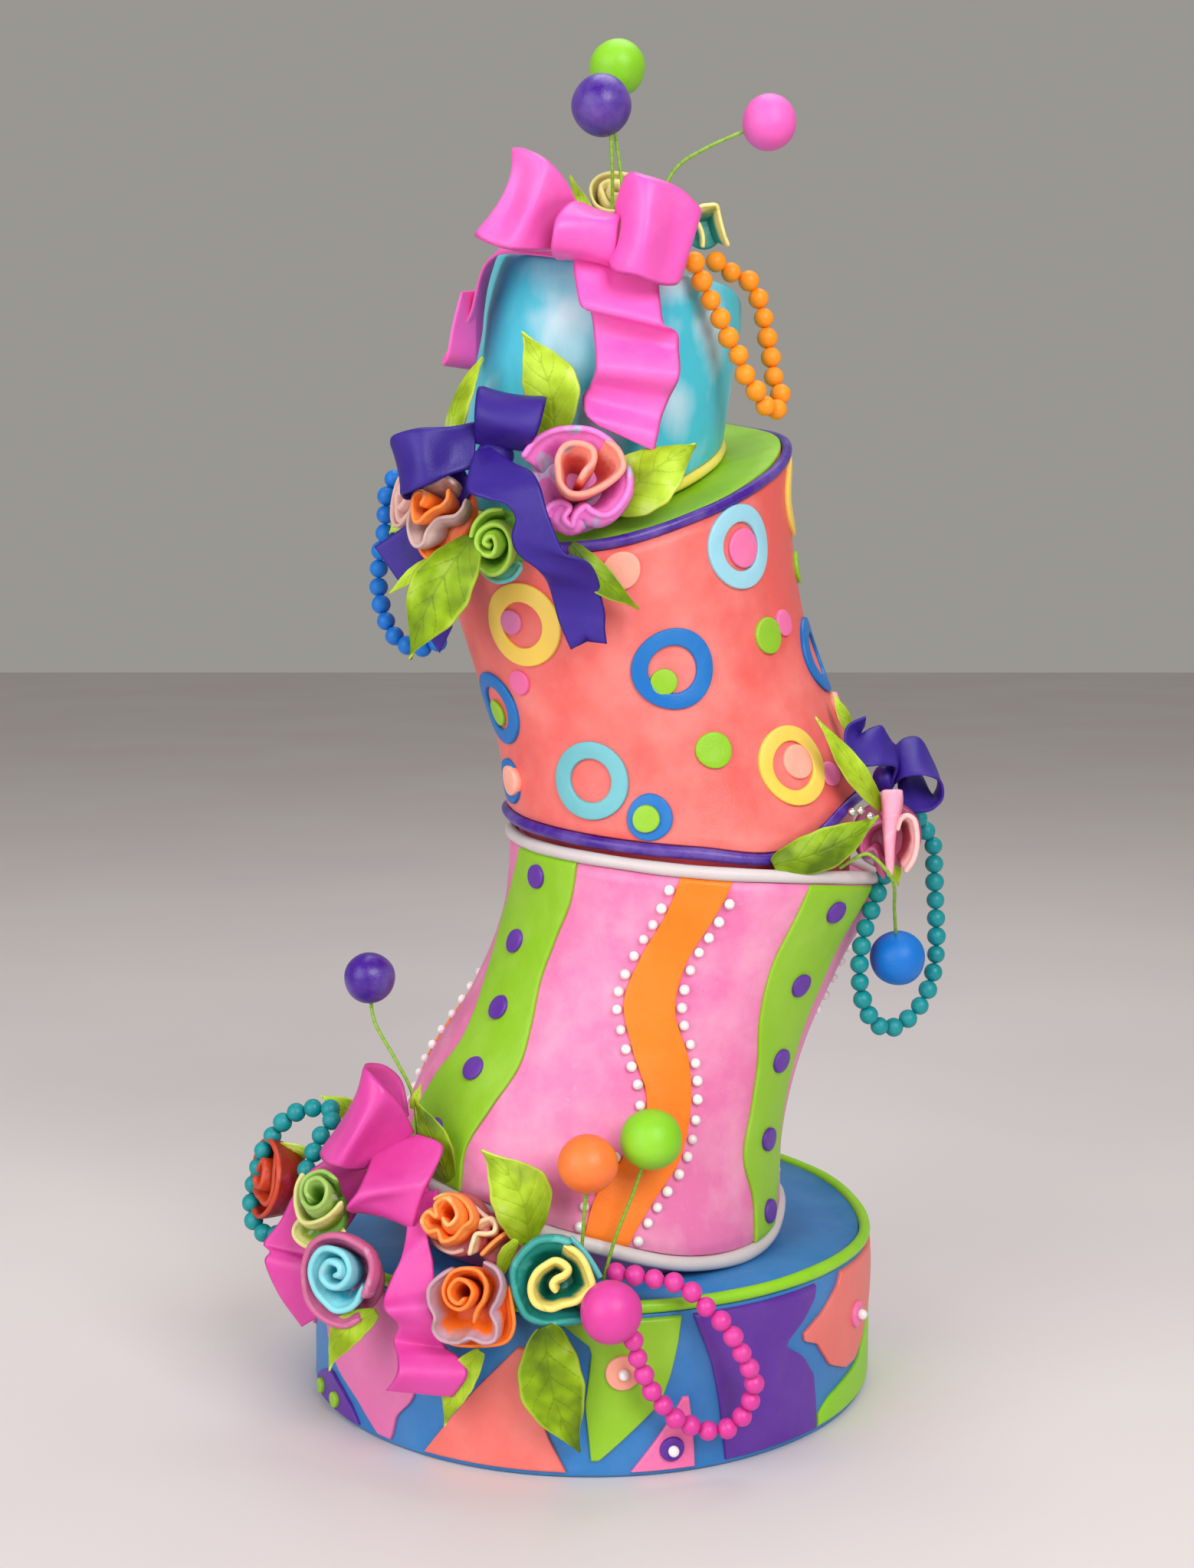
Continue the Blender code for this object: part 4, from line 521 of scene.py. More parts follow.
# The gathered middle of a bow: place and size.
KNOTS = {
    "bow_purple_left": ((-50, -92, 532), (20, 16, 18)),
    "bow_purple_right": ((163.5, -50, 355.5), (13, 18, 16)),
    "bow_magenta_low": ((-106, -100, 162), (16, 14, 16)),
}

# Balls on wires: ball place, diameter, the wire's points, finish.
PICKS = {
    "pick_green_top": ((15, 0, 749), 31, ((15, 0, 738), (13, -15, 720), (14, -26, 706), (16, -36, 690),
        (18, -44, 670), (19, -41, 652), (20, -36, 634)), "green"),
    "pick_purple_top": ((6, -45, 720), 33, ((11, -45, 708), (12, -42, 687), (12, -36, 664),
        (12, -34, 634)), "purple"),
    "pick_pink_top": ((100, 0, 719), 31, ((90, 0, 716), (64, -5, 704), (47, -8, 692), (36, -14, 669),
        (32, -20, 650), (31, -21, 632)), "ribbon_pink"),
    "pick_purple_left": ((-123, -60, 245), 28.5, ((-123, -60, 234), (-120, -62, 219), (-108, -70, 200),
        (-98, -82, 184), (-94, -92, 160)), "purple"),
    "pick_orange": ((-1, -152, 166), 31, ((-2, -152, 153), (-4, -150, 123), (-6, -147, 97)), "orange"),
    "pick_green_low": ((32, -142, 176), 32, ((28, -142, 163), (22, -141, 145), (13, -143, 122),
        (6, -146, 97)), "green"),
    "pick_blue_right": ((174, -40, 252), 31, ((173, -40, 264), (169, -60, 284), (166, -80, 299),
        (162, -88, 308), (153, -89, 317.5), (147, -88, 318.5), (136, -80, 310)), "sky"),
}
# The ball without a wire: place and diameter.
MAGENTA_BALL = ((11, -186, 99), 32)
SILVER_BEADS = ((141.8, -85, 341.5), (146.2, -86, 342.3), (151.2, -87, 339.5))

# Strings of beads: finish and the thread's points.
STRINGS = {
    "beads_orange": ("bead_orange", ((52, -72, 638), (58, -68, 631), (60, -66, 624), (64, -64, 616),
        (69, -62, 608), (73, -60, 598), (79, -58, 590), (82, -58, 579), (88, -56, 571), (94, -50, 562),
        (100, -44, 557), (105, -38, 563), (104, -34, 570), (101, -31, 578), (100, -29, 587),
        (98, -27, 598), (96, -26, 609), (93, -25, 620), (88, -26, 629), (77, -28, 634), (67, -34, 640),
        (60, -42, 643))),
    "beads_blue": ("sky", ((-107, -26, 525), (-111, -29, 518), (-114, -31, 508), (-114, -32, 494),
        (-117, -29, 482), (-119, -26, 464), (-116, -32, 447), (-109, -38, 434), (-97, -46, 428),
        (-85, -52, 431), (-77, -58, 440))),
    "beads_turquoise_right": ("turquoise", ((184, -28, 334), (191, -22, 323), (196, -20, 315),
        (197, -22, 294), (198, -24, 272), (198, -26, 251), (194, -30, 234), (186, -34, 220),
        (173, -40, 212), (162, -46, 215), (154, -50, 228), (151, -52, 247), (153, -52, 267),
        (158, -50, 283), (163, -48, 296), (168, -46, 308))),
    "beads_turquoise_left": ("turquoise", ((-158, -96, 141), (-153, -92, 149), (-151, -86, 157),
        (-146, -80, 165), (-141, -74, 172), (-153, -70, 173), (-162, -68, 171), (-171, -66, 165),
        (-178, -64, 156), (-184, -63, 146), (-187, -62, 136), (-190, -62, 126), (-191, -64, 117),
        (-190, -68, 110), (-185, -74, 104), (-177, -80, 103), (-168, -86, 108))),
    "beads_magenta": ("magenta", ((10, -156, 110), (14, -160, 110), (22, -163, 110), (33, -166, 109),
        (43, -168, 108), (53, -170, 103), (60, -172, 96), (69, -174, 88), (75, -174, 79), (80, -172, 68),
        (85, -168, 56), (84, -166, 45), (80, -164, 35), (73, -164, 28), (63, -166, 27), (55, -168, 30),
        (46, -172, 35), (40, -174, 42), (33, -176, 51), (28, -178, 62), (24, -180, 74), (22, -182, 84),
        (21, -184, 95))),
}

# Plain pastes: main colour and the paler tone that starch dust gives it; then, where they aren't the usual
# ones, how much dust, the width of its patches in mm, the gloss and how much it is scuffed.
PASTES = {
    "tier_blue": ("2C78BC", "6CA0CC"),
    "tier_pink": ("E878AE", "FBD2DE", 0.4, 34, 0.4, 0.5),
    "tier_coral": ("E8605A", "FDB8B0", 0.4, 60),
    "lime": ("8CC21C", "B4D864"),
    "lime_rope": ("8CCE14", "B4E050"),
    "white": ("D0C6C6", "E2DADA"),
    "purple": ("42188C", "9078C4", 0.5, 20, 0.3, 0.5),
    "yellow": ("F0DE5C", "F8F0A0"),
    "grape": ("5C289A", "8258B4"),
    "ribbon_pink": ("F25CBC", "FA90D4"),
    "ribbon_purple": ("2C1282", "4A2CA4", 0.3, 38, 0.48),
    "ribbon_magenta": ("D8409F", "E66CB8"),
    "orange": ("FC7A34", "FFA070"),
    "green": ("84CC14", "ACE058"),
    "sky": ("0070CC", "1880D0", 0.3, 38, 0.48),
    "magenta": ("D8389A", "E868B4"),
    "bead_orange": ("FF960A", "FFA83C", 0.2),
    "turquoise": ("008A90", "38AAAE"),
    "peach": ("FCA892", "FFC8B8"),
    "coral_pink": ("E87068", "F8A098"),
    "candy_pink": ("F070A8", "F89CC4"),
    "rose_pink": ("E864A0", "F090BC"),
    "mauve": ("D873A8", "E498C0"),
    "orchid": ("E070AC", "EC98C4"),
    "custard": ("F4CC50", "F8DE90"),
    "bright_blue": ("086CBC", "3088C8"),
    "ice_blue": ("96D0E2", "BCE4EE"),
    "lagoon": ("68B4BE", "90CCD4"),
    "orange_stripe": ("FC7C08", "FF9C40"),
}
# Spots on the top tier where pearl dust lies and a painted highlight whitens the teal: middle and reach.
DUST_AND_SHEEN_SPOTS = (
    ((-15, -80, 606), (26, 60, 50)),
    ((5, -88, 551), (32, 60, 20)),
    ((46, -80, 560), (16, 60, 24)),
    ((66, -50, 602), (13, 60, 32)),
    ((43, -70, 625), (22, 60, 15)),
)
# How far light spreads in paste, in metres of red, green and blue.
GLOW = (0.004, 0.002, 0.0015)
# Leaf pastes: four greens from the deepest to the palest, the cut rim and the veins.
LEAF_PASTES = {
    "fresh_leaf": (("86A014", "A2C024", "B8D83C", "DCE8A0"), "D0E060", "748C14"),
    "shaded_deep_leaf": (("54700A", "749408", "8EB20C", "B4CC58"), "B8D040", "4E6806"),
}
# Leaves given the darker paste: a deeper green, which also paints the shade they lie in under or behind other
# pieces.
SHADED_DEEP_LEAVES = ("leaf_big_left", "leaf_right_lower", "leaf_low_front", "leaf_under_rose", "leaf_low_behind")
# Record slots of the nodes that the tiers' pieces replace.
SLOTS = {
    "tier_1": "blue",
    "tier_2": "pink",
    "tier_3": "coral",
    "tier_4": "teal",
    "tier_3_top_sheet": "lime",
}

# Light, floor and camera, in metres, watts and degrees. Panels: name, place, aim, size, power.
ROOM_COLOUR = "F2EEE6"
ROOM_STRENGTH = 0.36
LIGHT_PANELS = (
    ("key_panel", (0.9, -2.0, 1.7), (0.02, 0, 0.38), 1.3, 44),
    ("fill_panel", (-1.6, -1.7, 1.2), (0, 0, 0.4), 2.0, 38),
    ("top_panel", (0.2, 0.5, 2.2), (0, 0, 0.3), 1.2, 16),
)
FLOOR_REACH = 6
FLOOR_DROP = 0.0005
CAMERA_PLACE = (0.0037, -1.2357, 0.496)
CAMERA_TILT = 83.1  # 6.9 below level
PHOTO_HEIGHT = 2046  # pixels
FOCAL_LENGTH = 2800  # in the photograph's pixels
SENSOR = 36  # the sensor's longer side in mm, which is upright here


# ---------------------------------------------------------------- numbers and surfaces


def through(values, t, closed=False):
    """A smooth curve through evenly spaced values, read at t from 0 to 1: on each span the cubic
    that meets both ends and keeps the slope between their neighbours."""
    values = np.asarray(values, float)
    t = np.asarray(t, float)
    count = len(values)
    if closed:
        step = (t % 1) * count
        first = np.floor(step).astype(int)
        four = [(first + k) % count for k in (-1, 0, 1, 2)]
    else:
        step = np.clip(t, 0, 1) * (count - 1)
        first = np.minimum(np.floor(step).astype(int), count - 2)
        four = [np.clip(first + k, 0, count - 1) for k in (-1, 0, 1, 2)]
    f = step - first
    if values.ndim > 1:
        f = f[..., None]
    a, b, c, d = (values[i] for i in four)
    return 0.5 * (2 * b + (c - a) * f + (2 * a - 5 * b + 4 * c - d) * f**2 + (3 * b - a - 3 * c + d) * f**3)


def even_turns(count):
    """Even angles round a circle."""
    return np.arange(count) * TAU / count


def lengths_along(thread):
    """How far along a thread of points each point lies."""
    return np.concatenate([[0], np.cumsum(np.linalg.norm(np.diff(thread, axis=0), axis=1))])


def points_at(thread, lengths, wanted):
    """The points at the wanted lengths along a thread."""
    return np.stack([np.interp(wanted, lengths, thread[:, axis]) for axis in range(3)], -1)


def unit(vectors):
    """The same directions with length 1."""
    vectors = np.asarray(vectors, float)
    return vectors / np.maximum(np.linalg.norm(vectors, axis=-1, keepdims=True), 1e-9)


def uneven(tier, angle, height):
    """How far hand-smoothed fondant stands off the true wall: a sum of three slow waves, under half a
    millimetre."""
    seed = len(tier["across"]) + tier["radius"][0]
    return (
        0.22 * np.sin(3 * angle + 5 * height + seed)
        + 0.16 * np.sin(5 * angle - 7 * height + 2 * seed)
        + 0.10 * np.sin(9 * angle + 11 * height)
    )


def wall(tier, angle, height, out=0.0, rise=0.0):
    """Points on a tier's wall: a circle whose radius and centre change with height, between a tilted foot
    and brim."""
    angle, height, out, rise = np.broadcast_arrays(
        *(np.asarray(v, float) for v in (angle, height, out, rise))
    )
    radius = through(tier["radius"], height) + out + uneven(tier, angle, height)
    turn = angle / TAU
    z = through(tier["foot"], turn, True) * (1 - height) + through(tier["brim"], turn, True) * height
    x = through(tier["across"], height) + radius * np.cos(angle)
    y = through(tier["depth"], height) + radius * np.sin(angle)
    return np.stack([x, y, z + rise], -1)


def top_height(tier, x, y):
    """How high a tier's top is at x, y: straight lines from the middle to the brim."""
    dx = x - tier["across"][-1]
    dy = y - tier["depth"][-1]
    share = np.hypot(dx, dy) / tier["radius"][-1]
    return tier["middle"] + (through(tier["brim"], np.arctan2(dy, dx) / TAU, True) - tier["middle"]) * share


def grid_faces(rows, columns, ring):
    """Quads between neighbouring loops, each closed on itself; in a ring the last also meets the first."""
    i = np.arange(rows if ring else rows - 1)[:, None]
    j = np.arange(columns)[None, :]
    i2, j2 = (i + 1) % rows, (j + 1) % columns
    corners = [i * columns + j, i * columns + j2, i2 * columns + j2, i2 * columns + j]
    return np.stack([np.broadcast_to(c, (i.size, j.size)) for c in corners], -1).reshape(-1, 4)


def shell(loops, ring=False, marks=None):
    """A closed skin over loops of points: each loop meets the next, and the ends close on their middles.
    marks are numbers for each point, along and across the piece, for its material."""
    loops = np.asarray(loops, float)
    rows, columns = loops.shape[:2]
    faces = [grid_faces(rows, columns, ring)]
    points = loops.reshape(-1, 3)
    along = np.repeat(np.linspace(0, 1, rows), columns)
    if marks is None:
        marks = np.tile(np.linspace(0, 1, columns, endpoint=False), rows)
    across = np.asarray(marks).reshape(-1)
    tips = []
    if not ring:
        around = np.arange(columns)
        for row, turn in ((0, -1), (rows - 1, 1)):
            tip = len(points) + len(tips)
            one, two = row * columns + around, row * columns + np.roll(around, -1)
            pair = (two, one) if turn == 1 else (one, two)
            faces.append(np.stack([pair[1], pair[0], np.full(columns, tip), np.full(columns, -1)], -1))
            tips.append(loops[row].mean(0))
        points = np.concatenate([points, tips])
        along = np.concatenate([along, [0, 1]])
        across = np.concatenate([across, [across[:columns].mean(), across[-columns:].mean()]])
    return points, np.concatenate(faces), along, across


def merged(shells):
    """Several skins as one."""
    points, faces, along, across, start = [], [], [], [], 0
    for p, f, a, b in shells:
        points.append(p)
        faces.append(np.where(f >= 0, f + start, -1))
        along.append(a)
        across.append(b)
        start += len(p)
    return np.concatenate(points), np.concatenate(faces), np.concatenate(along), np.concatenate(across)


def piece(name, skin, finish, nodes):
    """Makes the object of a skin given in mm, dressed in its finish, riding on the cake and standing for
    its nodes."""
    points, faces, along, across = skin
    mesh = bpy.data.meshes.new(name)
    mesh.from_pydata((points * MM).tolist(), [], [[int(v) for v in f if v >= 0] for f in faces])
    for label, numbers in (("along", along), ("across", across)):
        attribute = mesh.attributes.new(label, "FLOAT", "POINT")
        attribute.data.foreach_set("value", np.asarray(numbers, np.float32))
    mesh.shade_smooth()
    mesh.materials.append(finish)
    obj = bpy.data.objects.new(name, mesh)
    bpy.context.scene.collection.objects.link(obj)
    outward(obj)
    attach(obj, "root")
    if nodes:
        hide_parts(*nodes)


def outward(obj):
    """Turns a closed skin inside out if its volume comes out negative."""
    mesh = obj.data
    mesh.calc_loop_triangles()
    count = len(mesh.loop_triangles)
    corners = np.empty(count * 3, int)
    mesh.loop_triangles.foreach_get("vertices", corners)
    points = np.empty(len(mesh.vertices) * 3)
    mesh.vertices.foreach_get("co", points)
    a, b, c = points.reshape(-1, 3)[corners].reshape(-1, 3, 3).transpose(1, 0, 2)
    if np.einsum("ij,ij->", a, np.cross(b, c)) < 0:
        mesh.flip_normals()


# ---------------------------------------------------------------- colours and finishes


def linear(hex_colour):
    """An sRGB hex colour as linear red, green, blue and alpha."""
    channels = [int(hex_colour[i : i + 2], 16) / 255 for i in (0, 2, 4)]
    return [c / 12.92 if c <= 0.04045 else ((c + 0.055) / 1.055) ** 2.4 for c in channels] + [1.0]


def plug(node, inputs):
    """Gives each input of a node its value, or links it to another node's output."""
    for key, value in inputs.items():
        if isinstance(value, bpy.types.NodeSocket):
            node.id_data.links.new(value, node.inputs[key])
        else:
            node.inputs[key].default_value = value


def add(tree, kind, inputs=(), **settings):
    """Adds a node with its own settings and its inputs."""
    made = tree.nodes.new(kind)
    for key, value in settings.items():
        setattr(made, key, value)
    plug(made, dict(inputs))
    return made


def ramp(tree, share, stops):
    """A share turned into a colour by stops: position and colour."""
    node = add(tree, "ShaderNodeValToRGB", {"Fac": share})
    elements = node.color_ramp.elements
    while len(elements) > len(stops):
        elements.remove(elements[-1])
    while len(elements) < len(stops):
        elements.new(1)
    for element, (position, colour) in zip(elements, stops):
        element.position = position
        element.color = colour
    return node.outputs[0]


def grain(millimetres):
    """The noise scale whose grain is so many millimetres wide, on Object coordinates in metres."""
    return 1 / (millimetres * MM)


def own_number(tree, name):
    """A piece's own numbers, from 0 to 1 along or across it."""
    return add(tree, "ShaderNodeAttribute", attribute_name=name).outputs["Fac"]


def noise(tree, where, millimetres, detail, **inputs):
    """Noise whose grain is so many millimetres wide."""
    inputs = {"Vector": where, "Scale": grain(millimetres), "Detail": detail, **inputs}
    return add(tree, "ShaderNodeTexNoise", inputs).outputs[0]


def mixed(tree, share, one, other, **settings):
    """One colour with a share of another."""
    mix = add(tree, "ShaderNodeMix", {"Factor": share, 6: one, 7: other}, data_type="RGBA", **settings)
    return mix.outputs[2]


def bump(tree, height, strength, metres, **inputs):
    """Relief of so many metres from a height of 0 to 1, in the strength given."""
    inputs = {"Height": height, "Strength": strength, "Distance": metres, **inputs}
    return add(tree, "ShaderNodeBump", inputs).outputs[0]


def number(tree, operation, *numbers):
    """Arithmetic on numbers and other nodes' outputs."""
    return add(tree, "ShaderNodeMath", dict(enumerate(numbers)), operation=operation).outputs[0]


def remap(tree, value, reads, gives):
    """A number carried evenly from one range to another and held at its ends."""
    names = ("Value", "From Min", "From Max", "To Min", "To Max")
    return add(tree, "ShaderNodeMapRange", dict(zip(names, (value, *reads, *gives)))).outputs[0]


def surface(shader, **inputs):
    """Sets or links the shader's inputs; an underscore stands for a space."""
    plug(shader, {key.replace("_", " "): value for key, value in inputs.items()})


def begin(name):
    """A new material with its tree, shader and Object coordinates."""
    material = bpy.data.materials.new(name)
    material.use_nodes = True
    tree = material.node_tree
    tree.nodes.clear()
    shader = add(tree, "ShaderNodeBsdfPrincipled")
    add(tree, "ShaderNodeOutputMaterial", {"Surface": shader.outputs[0]})
    where = add(tree, "ShaderNodeTexCoord").outputs["Object"]
    return material, tree, shader, where


def dimples(tree, shader, where, fine_mm, fine, broad_mm, broad):
    """Relief of rolled paste: fine pores and the slow unevenness that hands and rollers leave."""
    pores = noise(tree, where, fine_mm, 3.0)
    waves = noise(tree, where, broad_mm, 1.0)
    first = bump(tree, waves, broad, 0.003)
    surface(shader, Normal=bump(tree, pores, fine, 0.0006, Normal=first))


def fondant(name, colour, pale, dust=0.32, patch_mm=38, gloss=0.4, scuff=0.2):
    """Rolled fondant, smoothed by hand: satin, with cloudy patches where starch dust was rubbed in, so its
    colour is a little paler and drier in places, with thin whitish scuffs of starch, and with fine
    pores."""
    material, tree, shader, where = begin("rolled_fondant_" + name)
    clouds = noise(tree, where, patch_mm, 4.0, Roughness=0.6)
    share = ramp(tree, clouds, ((0.42, (0, 0, 0, 1)), (0.78, (dust, dust, dust, 1))))
    scratches = noise(tree, where, 9, 6.0, Roughness=0.7, Distortion=2.2)
    scuffs = remap(tree, scratches, (0.62, 0.76), (0, scuff))
    tone = mixed(tree, number(tree, "MAXIMUM", share, scuffs), linear(colour), linear(pale))
    rough = remap(tree, clouds, (0.3, 0.7), (gloss - 0.07, gloss + 0.12))
    surface(shader, Base_Color=tone, Roughness=rough, IOR=1.45)
    surface(shader, Subsurface_Weight=0.06, Subsurface_Radius=GLOW)
    dimples(tree, shader, where, 1.1, 0.25, 14, 0.25)
    return material


def dust_and_sheen_spots(tree, where):
    """How much pearl dust and painted highlight lie here: 1 in the middle of a spot, falling evenly to 0 at
    its edge.
    """
    most = 0.0
    for centre, reach in DUST_AND_SHEEN_SPOTS:
        places = {"Location": tuple(np.multiply(centre, MM)), "Scale": tuple(np.multiply(reach, MM))}
        placed = add(tree, "ShaderNodeMapping", {"Vector": where, **places}, vector_type="TEXTURE")
        spot = add(tree, "ShaderNodeTexGradient", {"Vector": placed.outputs[0]}, gradient_type="SPHERICAL")
        most = number(tree, "MAXIMUM", spot.outputs["Fac"], most)
    return most


def brushed_pearl_and_sheen():
    """Teal fondant brushed with pearl dust: clear teal, with broad whitish clouds where more dust was laid, a
    painted highlight in the whitish spots, faint upright brush strokes in them, and a silky gloss."""
    material, tree, shader, where = begin("pearl_brushed_fondant_teal_painted_sheen")
    stretched = add(tree, "ShaderNodeMapping", {"Vector": where, "Scale": (1, 1, 0.22)})
    strokes = noise(tree, stretched.outputs[0], 5, 5.0, Roughness=0.6)
    clouds = noise(tree, where, 26, 1.5, Distortion=0.4)
    both = number(tree, "MULTIPLY_ADD", strokes, 0.28, clouds)
    # The spots whiten the teal partly as pearl dust and partly as a painted highlight.
    laid = number(tree, "MULTIPLY_ADD", dust_and_sheen_spots(tree, where), 0.9, both)
    tone = mixed(tree, remap(tree, laid, (0.72, 1.35), (0, 0.85)), linear("44C2D6"), linear("CCE2EE"))
    rough = remap(tree, strokes, (0.3, 0.7), (0.3, 0.42))
    surface(shader, Base_Color=tone, Roughness=rough, Sheen_Weight=0.15, Sheen_Roughness=0.35)
    dimples(tree, shader, where, 1.1, 0.2, 16, 0.3)
    return material


def marbled(name, lip, side, vein):
    """A rolled strip of two pastes for a rose: the folded lip in one colour, the walls in another, with
    streaks of a third, and a waxy satin surface."""
    material, tree, shader, where = begin("marbled_rose_paste_" + name)
    across = own_number(tree, "across")
    wander = noise(tree, where, 16, 2.0, Distortion=0.8)
    height = number(tree, "MULTIPLY", across, 0.7)
    shifted = number(tree, "MULTIPLY_ADD", wander, 0.3, height)
    folded = ramp(tree, shifted, ((0.66, linear(side)), (0.79, linear(lip))))
    streaks = noise(tree, where, 22, 3.0, Distortion=1.6)
    share = ramp(tree, streaks, ((0.58, (0, 0, 0, 1)), (0.70, (0.8, 0.8, 0.8, 1))))
    tone = mixed(tree, share, folded, linear(vein))
    surface(shader, Base_Color=tone, Roughness=0.42, Subsurface_Weight=0.05, Subsurface_Radius=GLOW)
    dimples(tree, shader, where, 0.9, 0.3, 7, 0.3)
    return material


def leaf_paste(name, greens, rim_colour, vein_colour):
    """Gum-paste leaf, pressed in a veiner and dusted: yellow-green that shades from olive at the root,
    rubbed paler in soft patches, with darker veins and a pale yellow rim where the cut edge shows."""
    material, tree, shader, where = begin("veined_leaf_gum_paste_" + name)
    across = own_number(tree, "across")
    along = own_number(tree, "along")
    clouds = noise(tree, where, 20, 2.0, Roughness=0.5)
    tones = ramp(tree, clouds, list(zip((0.32, 0.47, 0.60, 0.78), map(linear, greens))))
    rim = ramp(tree, across, ((0.88, (0, 0, 0, 1)), (1.0, (0.9, 0.9, 0.9, 1))))
    edged = mixed(tree, rim, tones, linear(rim_colour))
    vein = ramp(
        tree, across, ((0.12, (0.45, 0.45, 0.45, 1)), (0.25, (0.35, 0.35, 0.35, 1)), (0.30, (0, 0, 0, 1)))
    )
    edged = mixed(tree, vein, edged, linear(vein_colour))
    root = ramp(tree, along, ((0.0, linear("ACB050")), (0.45, linear("FFFFFF"))))
    tone = mixed(tree, 0.8, edged, root, blend_type="MULTIPLY")
    surface(shader, Base_Color=tone, Roughness=0.45, Specular_IOR_Level=0.22)
    dimples(tree, shader, where, 0.8, 0.2, 7, 0.2)
    return material


def pearl_sugar():
    """Sugar pearls with a nacre coat: off-white, glossy, with a faint pink and grey cast."""
    material, tree, shader, where = begin("nacre_sugar_pearl")
    cast = noise(tree, where, 9, 1.0)
    tones = ramp(tree, cast, ((0.35, linear("E8DCE0")), (0.65, linear("FAF6F2"))))
    surface(shader, Base_Color=tones, Roughness=0.22, Coat_Weight=0.6, Coat_Roughness=0.12)
    dimples(tree, shader, where, 0.6, 0.15, 2.5, 0.15)
    return material


def silver_sugar():
    """Silvered sugar beads: a metal skin, slightly dulled."""
    material, tree, shader, where = begin("silvered_sugar")
    dull = noise(tree, where, 2, 2.0)
    rough = remap(tree, dull, (0, 1), (0.16, 0.36))
    surface(shader, Base_Color=linear("D8D4D0"), Roughness=rough, Metallic=1.0)
    dimples(tree, shader, where, 0.5, 0.2, 2, 0.15)
    return material


def table_top():
    """A pale matt table top: near white with a faint warm and cool drift and a very slight texture."""
    material, tree, shader, where = begin("pale_table_top")
    drift = noise(tree, where, 420, 2.0)
    tones = ramp(tree, drift, ((0.35, linear("D8D0D2")), (0.65, linear("DCD6D6"))))
    surface(shader, Base_Color=tones, Roughness=0.6)
    dimples(tree, shader, where, 1.5, 0.05, 60, 0.03)
    return material


def florist_wire():
    """Florist's wire bound in lime paper tape: matt, with the tape's slanting laps faintly darker."""
    material, tree, shader, _ = begin("taped_florist_wire")
    along = own_number(tree, "along")
    saw = number(tree, "FRACT", number(tree, "MULTIPLY", along, 17.0))
    tones = ramp(tree, saw, ((0.0, linear("6E9A1E")), (0.2, linear("8CB830")), (1.0, linear("82AC28"))))
    surface(shader, Base_Color=tones, Roughness=0.5, Normal=bump(tree, saw, 0.3, 0.0002))
    return material


# ---------------------------------------------------------------- tiers and ropes


def foot_of_tier_4():
    """Tier four's lower rim, twelve heights where its rope lies on the lime sheet."""
    hours = even_turns(12)
    tier = TIERS["tier_4"]
    x = tier["across"][0] + tier["radius"][0] * np.cos(hours)
    y = tier["depth"][0] + tier["radius"][0] * np.sin(hours)
    return top_height(TIERS["tier_3"], x, y) + TOP_SHEET + BASE_ROPE["tier_4"] + 3 * ROPE_GAP


def tier_skin(name):
    """A tier turned about its leaning axis: the profile runs from the middle of the foot, out along the
    seat of the base rope, up the wall, over the seat of the top rope and in along straight lines to the
    middle of the top."""
    tier = TIERS[name]
    angles = even_turns(TIER_STEPS)
    loops = []
    if name in PLUGS:
        below, extra, inset = PLUGS[name]
        seat = BASE_ROPE[name] + ROPE_SEAT_ROOM
        foot = wall(tier, angles, 0, -inset)
        foot[:, 2] = top_height(TIERS[below], foot[:, 0], foot[:, 1]) + extra
        loops.append(foot)
        loops += [
            wall(tier, angles, 0, out, seat + up) for out, up in ((-seat - 1, 0), (-0.8, 0), (-0.1, 0.8))
        ]
    else:
        loops += [wall(tier, angles, 0, out, up) for out, up in ((-1.5, 0), (-0.4, 0.4), (0, 1.6))]
    loops += [wall(tier, angles, height) for height in np.linspace(0.06, 0.94, 56)]
    if name in TOP_ROPE:
        seat = TOP_ROPE[name] + ROPE_SEAT_ROOM
        loops += [wall(tier, angles, 1, out, up) for out, up in ((0, -seat), (-seat, -seat), (-seat, 0))]
        edge = -seat
    else:
        soft = 3.5
        turn = np.linspace(0, math.pi / 2, 7)
        loops += [
            wall(tier, angles, 1, -soft * (1 - math.cos(a)), -soft * (1 - math.sin(a)) - 0.4) for a in turn
        ]
        edge = -soft
    rim = wall(tier, angles, 1, edge, -0.4 if name not in TOP_ROPE else 0)
    centre = np.array([tier["across"][-1], tier["depth"][-1], tier["middle"]])
    loops += [centre + (rim - centre) * share for share in (0.8, 0.5, 0.2, 0.03)]
    return shell(np.array(loops))


def rope_skin(name):
    """A rolled rope of paste: a round section carried along the rim, a little thicker and thinner by
    turns."""
    tier_name, height, thick, _ = ROPES[name]
    tier = TIERS[tier_name]
    angles = even_turns(ROPE_STEPS)
    offset = ROPE_GAP - ROPE_SEAT_ROOM
    spine = wall(tier, angles, height, offset, offset if height else -offset)
    along = unit(np.roll(spine, -1, 0) - np.roll(spine, 1, 0))
    side = unit(np.cross(along, [0, 0, 1]))
    over = np.cross(side, along)
    turn = even_turns(ROPE_SIDES)
    radius = thick * (1 + 0.03 * np.sin(7 * angles) + 0.02 * np.sin(17 * angles + 1))
    return shell(spine[:, None] + radius[:, None, None] * round_section(turn, side, over), ring=True)


